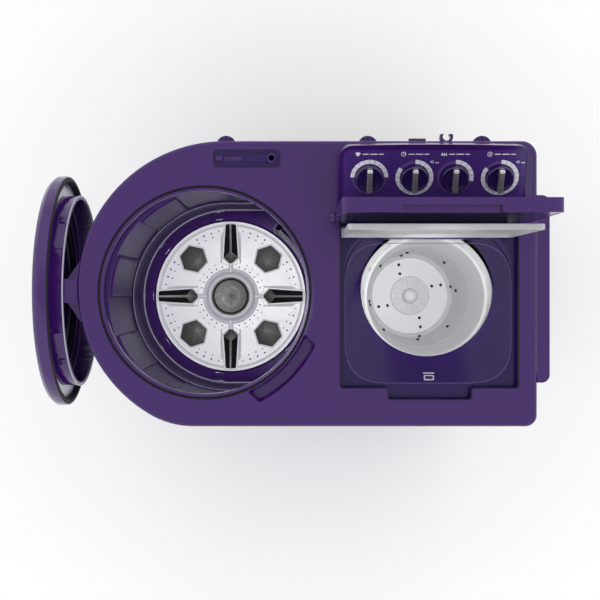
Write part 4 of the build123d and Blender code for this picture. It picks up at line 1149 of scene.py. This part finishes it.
def scale_parts(x, start, end):
    """Printed band round a knob, cut by fine ticks, with the thin pale violet ring that completes it, a
    painted highlight standing for a lit bevel.
    """
    ticks = max(int(abs(end - start) / 18), 2)
    white = []
    for index in range(ticks):
        a0 = start + (end - start) * index / ticks + 0.7
        a1 = start + (end - start) * (index + 1) / ticks - 0.7
        band = arc_points((x, 0), SCALE_R1, a0, a1, 10) + arc_points((x, 0), SCALE_R0, a1, a0, 10)
        white.append(flat_mark(band, 0.75))
    a0, a1 = end + 1, start + 359
    line = arc_points((x, 0), SCALE_R1 - 2.0, a0, a1, 60) + arc_points((x, 0), SCALE_R0 + 0.6, a1, a0, 60)
    return white, flat_mark(line, 0.65)


def icon_parts(kind, x, y):
    """Plain icons: a shirt, a clock, drops and a swirl."""
    if kind == "shirt":
        half = [(3, -4), (3, 1), (5, -0.4), (6, 1.6), (2.4, 4)]
        shirt = half + [(-px, py) for px, py in reversed(half)]
        return [flat_mark([(x + px * 0.8, y + py * 0.8) for px, py in shirt])]
    if kind == "clock":
        return [ring_mark(x, y, 4.2, 3.2),
                flat_mark([(x - 0.4, y), (x + 0.4, y), (x + 0.4, y + 2.8), (x - 0.4, y + 2.8)]),
                flat_mark([(x, y - 0.4), (x + 2.2, y - 0.4), (x + 2.2, y + 0.4), (x, y + 0.4)])]
    if kind == "drops":
        return [flat_mark([(x + shift, y + 3)] + arc_points((x + shift, y - 1.2), 1.5, 20, -200, 10))
                for shift in (-3.4, 0, 3.4)]
    return [ring_mark(x, y, 4.2, 3.3), ring_mark(x, y, 1.6, 0.6)]


def numeral(text, x, y, size):
    """A number on a dial, as a flat mesh."""
    curve = bpy.data.curves.new("numeral", "FONT")
    curve.body = text
    curve.size = size * MM
    curve.align_x, curve.align_y = "CENTER", "CENTER"
    curve.extrude = 0.0002
    curve.resolution_u = 3
    holder = bpy.data.objects.new("numeral", curve)
    bpy.context.scene.collection.objects.link(holder)
    bpy.context.view_layer.update()
    mesh = bpy.data.meshes.new_from_object(holder)
    points = [(v.co.x / MM + x, v.co.y / MM + y, v.co.z / MM - 0.85) for v in mesh.vertices]
    faces = [tuple(p.vertices) for p in mesh.polygons]
    bpy.data.objects.remove(holder)
    bpy.data.meshes.remove(mesh)
    return moved((points, faces), FASCIA)


class WASHER_OT_controls(bpy.types.Operator):
    """Control panel: housing, fascia, printed scales and icons, knobs with grips and pointers"""
    bl_idname = "washer.controls"
    bl_label = "Controls"

    def execute(self, context):
        edge, fine = settings("sizes").shell_edge, settings("sizes").fine_edge
        dress("panel_housing", polished_abs(), edge * 1.6)
        dress("panel_fascia", fascia_abs(), fine)
        white, thin, icons = [], [], []
        for node, body, start, end, icon in KNOBS:
            x = middle(node).x
            band, line = scale_parts(x, start, end)
            white += band
            thin.append(line)
            icons += icon_parts(icon, x - 20, 42)
            for shift, width in WORD_BARS:
                left = x - 12 + shift
                icons.append(flat_mark(oblong(left, left + width, 41.2, 42.7, 0.6, 2)))
            if end - start > 200:
                icons.append(numeral("45", x + 28, 28, 6.5))
                icons.append(flat_mark(oblong(x + 33.5, x + 40, 26, 27.4, 0.6, 2)))
            settle(mesh_piece(node + "_skirt", *knob_parts(x), knob_abs(), 34), body, "knob_purple", node)
            settle(mesh_piece(node + "_grip", *grip_parts(x), grip_satin(), 34), body, "knob_purple")
            settle(mesh_piece(node + "_pointer", *pointer_parts(x), printed_ink(), 30), body, "scale_white")
        # The thin pale violet rings are a painted highlight; the bands and the icons are print.
        for name, marks, ink, *nodes in (("scale_bands", white, printed_ink(), "dial_scales"),
                                         ("scale_rings", thin, pale_violet_highlight()),
                                         ("panel_icons", icons, printed_ink())):
            printed = mesh_piece(name, *join(marks), ink, 30, weld=False)
            settle(printed, "cabinet", "scale_white", *nodes)
        return {"FINISHED"}


def inlet_outline(low, high, inset):
    """A pill that ends in a larger circle round the water inlet."""
    unit = (high.x - low.x) / 530
    heart = (low.y + high.y) / 2
    small, large = 57 * unit - inset, 70 * unit - inset
    meet = math.degrees(math.asin(small / large))
    outline = arc_points((low.x + 57 * unit, heart), small, 90, 270, 24)
    return outline + arc_points((high.x - 70 * unit, heart), large, -180 + meet, 180 - meet, 40)


class WASHER_OT_inlet(bpy.types.Operator):
    """Inlet plate with its selector, arrows and water inlet"""
    bl_idname = "washer.inlet"
    bl_label = "Inlet"

    def execute(self, context):
        fine = settings("sizes").fine_edge
        dress("inlet_bezel", well_abs(), fine * 0.6)
        dress("inlet_slider", polished_abs(), fine)
        dress("water_inlet", polished_abs(), fine)
        low, high = place("inlet_bezel")
        parts = []
        for row in range(2):
            for column in range(4):
                x, y = low.x + 66 + column * 7.5, low.y + 11 + row * 8
                arrow = [(x, y - 1.8), (x + 3.4, y), (x, y + 1.8), (x + 0.9, y)]
                parts.append(upright(arrow, high.z - 0.2, high.z + 0.35))
        arrows = mesh_piece("inlet_arrows", *join(parts), polished_abs(), 30, weld=False)
        settle(arrows, "cabinet", "dark_purple")
        outer, inner = inlet_outline(low, high, 0.4), inlet_outline(low, high, 2.0)
        border = frame_band(outer, inner, high.z - 0.4, high.z + 0.5)
        settle(mesh_piece("inlet_border", *border, moulded_rubber(), 30), "cabinet", "dark_purple")
        slot = oblong(low.x + 13.8, low.x + 53.4, low.y + 10.8, low.y + 20.2, 1.0)
        track = prism(slot, high.z - 6, high.z - 3.2, 0.3)
        settle(mesh_piece("inlet_track", *track, polished_abs(), 30), "cabinet", "dark_purple")
        return {"FINISHED"}


class WASHER_OT_works(bpy.types.Operator):
    """Motors, gearbox, belt, springs, seals, valve and timer cases inside the cabinet"""
    bl_idname = "washer.works"
    bl_label = "Works"

    def execute(self, context):
        fine = settings("sizes").fine_edge
        for node in ("wash_motor", "spin_motor", "gearbox_housing", "gearbox_pulley", "motor_pulley"):
            dress(node, cast_aluminium(), fine)
        for node in ("gearbox_bracket", "spin_motor_springs", "brake_lever", "brake_pivot"):
            dress(node, zinc_steel())
        for node in ("drive_belt", "spin_bellows", "pulsator_seal", "spring_seats", "drain_valve_plug"):
            dress(node, moulded_rubber())
        for node in ("drain_valve_body", "motor_capacitors", "timer_cases", "selector_cases"):
            dress(node, grained_polypropylene(), fine)
        return {"FINISHED"}


# ---------------------------------------------------------------- stage


def tub_lamp(name, over, width, power):
    """A soft narrow lamp straight above a tub, which lights the inside and leaves the top moulding alone."""
    data = bpy.data.lights.new(name, "SPOT")
    data.energy = power
    data.spot_size = math.radians(width)
    data.spot_blend = 0.15
    data.shadow_soft_size = 0.02
    lamp = bpy.data.objects.new(name, data)
    lamp.location = (over.x * MM, over.y * MM, 2.9)
    bpy.context.scene.collection.objects.link(lamp)
    return lamp


class WASHER_OT_stage(bpy.types.Operator):
    """Pale floor, soft lights and the camera"""
    bl_idname = "washer.stage"
    bl_label = "Stage"

    def execute(self, context):
        values = settings("stage")
        scene = context.scene
        rings = [[(*polar((0, 0), reach, 360 * k / 64), 0.0) for k in range(64)]
                 for reach in (120.0, 3600.0, 12000.0)]
        paper = surface("pale_studio_paper", values.floor_tone, 0.9, 0.05, 400, 6, 0.02, 0.01)
        floor = mesh_piece("studio_floor", *skin(rings), paper)
        lid = mesh_piece("studio_floor_middle", rings[0], [tuple(range(64))], paper)
        scene.view_settings.view_transform = "Standard"
        world = bpy.data.worlds.new("studio")
        scene.world = world
        world.use_nodes = True
        tree = world.node_tree
        direction = add_node(tree, "ShaderNodeTexCoord").outputs["Generated"]
        parts = add_node(tree, "ShaderNodeSeparateXYZ", links={"Vector": direction})
        rise = add_node(tree, "ShaderNodeMapRange",
                        {"From Min": 0.0, "From Max": 0.35, "To Min": values.horizon, "To Max": values.walls},
                        {"Value": parts.outputs["Z"]})
        overhead = values.zenith / values.walls
        ceiling = add_node(tree, "ShaderNodeMapRange",
                           {"From Min": 0.88, "From Max": 0.96, "To Min": 1.0, "To Max": overhead},
                           {"Value": parts.outputs["Z"]})
        glow = add_node(tree, "ShaderNodeMath", operation="MULTIPLY",
                        links={0: rise.outputs["Result"], 1: ceiling.outputs["Result"]})
        tree.links.new(glow.outputs["Value"], tree.nodes["Background"].inputs["Strength"])
        tree.nodes["Background"].inputs["Color"].default_value = (1, 1, 1, 1)
        tub_lamp("lamp_wash_tub", PULSATOR, 8.6, values.tub_power)
        tub_lamp("lamp_spin_tub", BASKET, 6.6, values.basket_power)
        data = bpy.data.cameras.new("camera")
        data.lens = values.lens
        data.sensor_width = 36.0
        data.shift_y = -0.02
        data.clip_end = 100.0
        camera = bpy.data.objects.new("camera", data)
        camera.location = (values.camera_x, -values.camera_y, PLATE_TOP * MM + values.camera_height)
        scene.collection.objects.link(camera)
        scene.camera = camera
        return {"FINISHED"}


class WASHER_PT_panel(bpy.types.Panel):
    """Lists the washer's operators"""
    bl_idname = "WASHER_PT_panel"
    bl_label = "Twin Tub Washer"
    bl_space_type = "VIEW_3D"
    bl_region_type = "UI"
    bl_category = "Washer"

    def draw(self, context):
        for group in ("colours", "sizes", "stage"):
            box = self.layout.box()
            values = settings(group)
            for name in values.__annotations__:
                box.prop(values, name)
        for operator in OPERATORS:
            self.layout.operator(operator.bl_idname)


GROUPS = {"colours": WASHER_PG_colours, "sizes": WASHER_PG_sizes, "stage": WASHER_PG_stage}
OPERATORS = (WASHER_OT_body, WASHER_OT_wash_tub, WASHER_OT_pulsator, WASHER_OT_wash_lid, WASHER_OT_spin_side,
             WASHER_OT_spin_lids, WASHER_OT_controls, WASHER_OT_inlet, WASHER_OT_works, WASHER_OT_stage)


def register():
    """Register the classes and hang the groups of values on the scene."""
    for group, kind in GROUPS.items():
        bpy.utils.register_class(kind)
        setattr(bpy.types.Scene, "washer_" + group, PointerProperty(type=kind))
    for kind in (*OPERATORS, WASHER_PT_panel):
        bpy.utils.register_class(kind)


def unregister():
    """Undo register."""
    for kind in (WASHER_PT_panel, *reversed(OPERATORS)):
        bpy.utils.unregister_class(kind)
    for group, kind in GROUPS.items():
        delattr(bpy.types.Scene, "washer_" + group)
        bpy.utils.unregister_class(kind)


def main():
    """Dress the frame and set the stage."""
    register()
    for operator in OPERATORS:
        area, name = operator.bl_idname.split(".")
        getattr(getattr(bpy.ops, area), name)()
    bpy.context.view_layer.update()


if __name__ == "__main__":
    main()
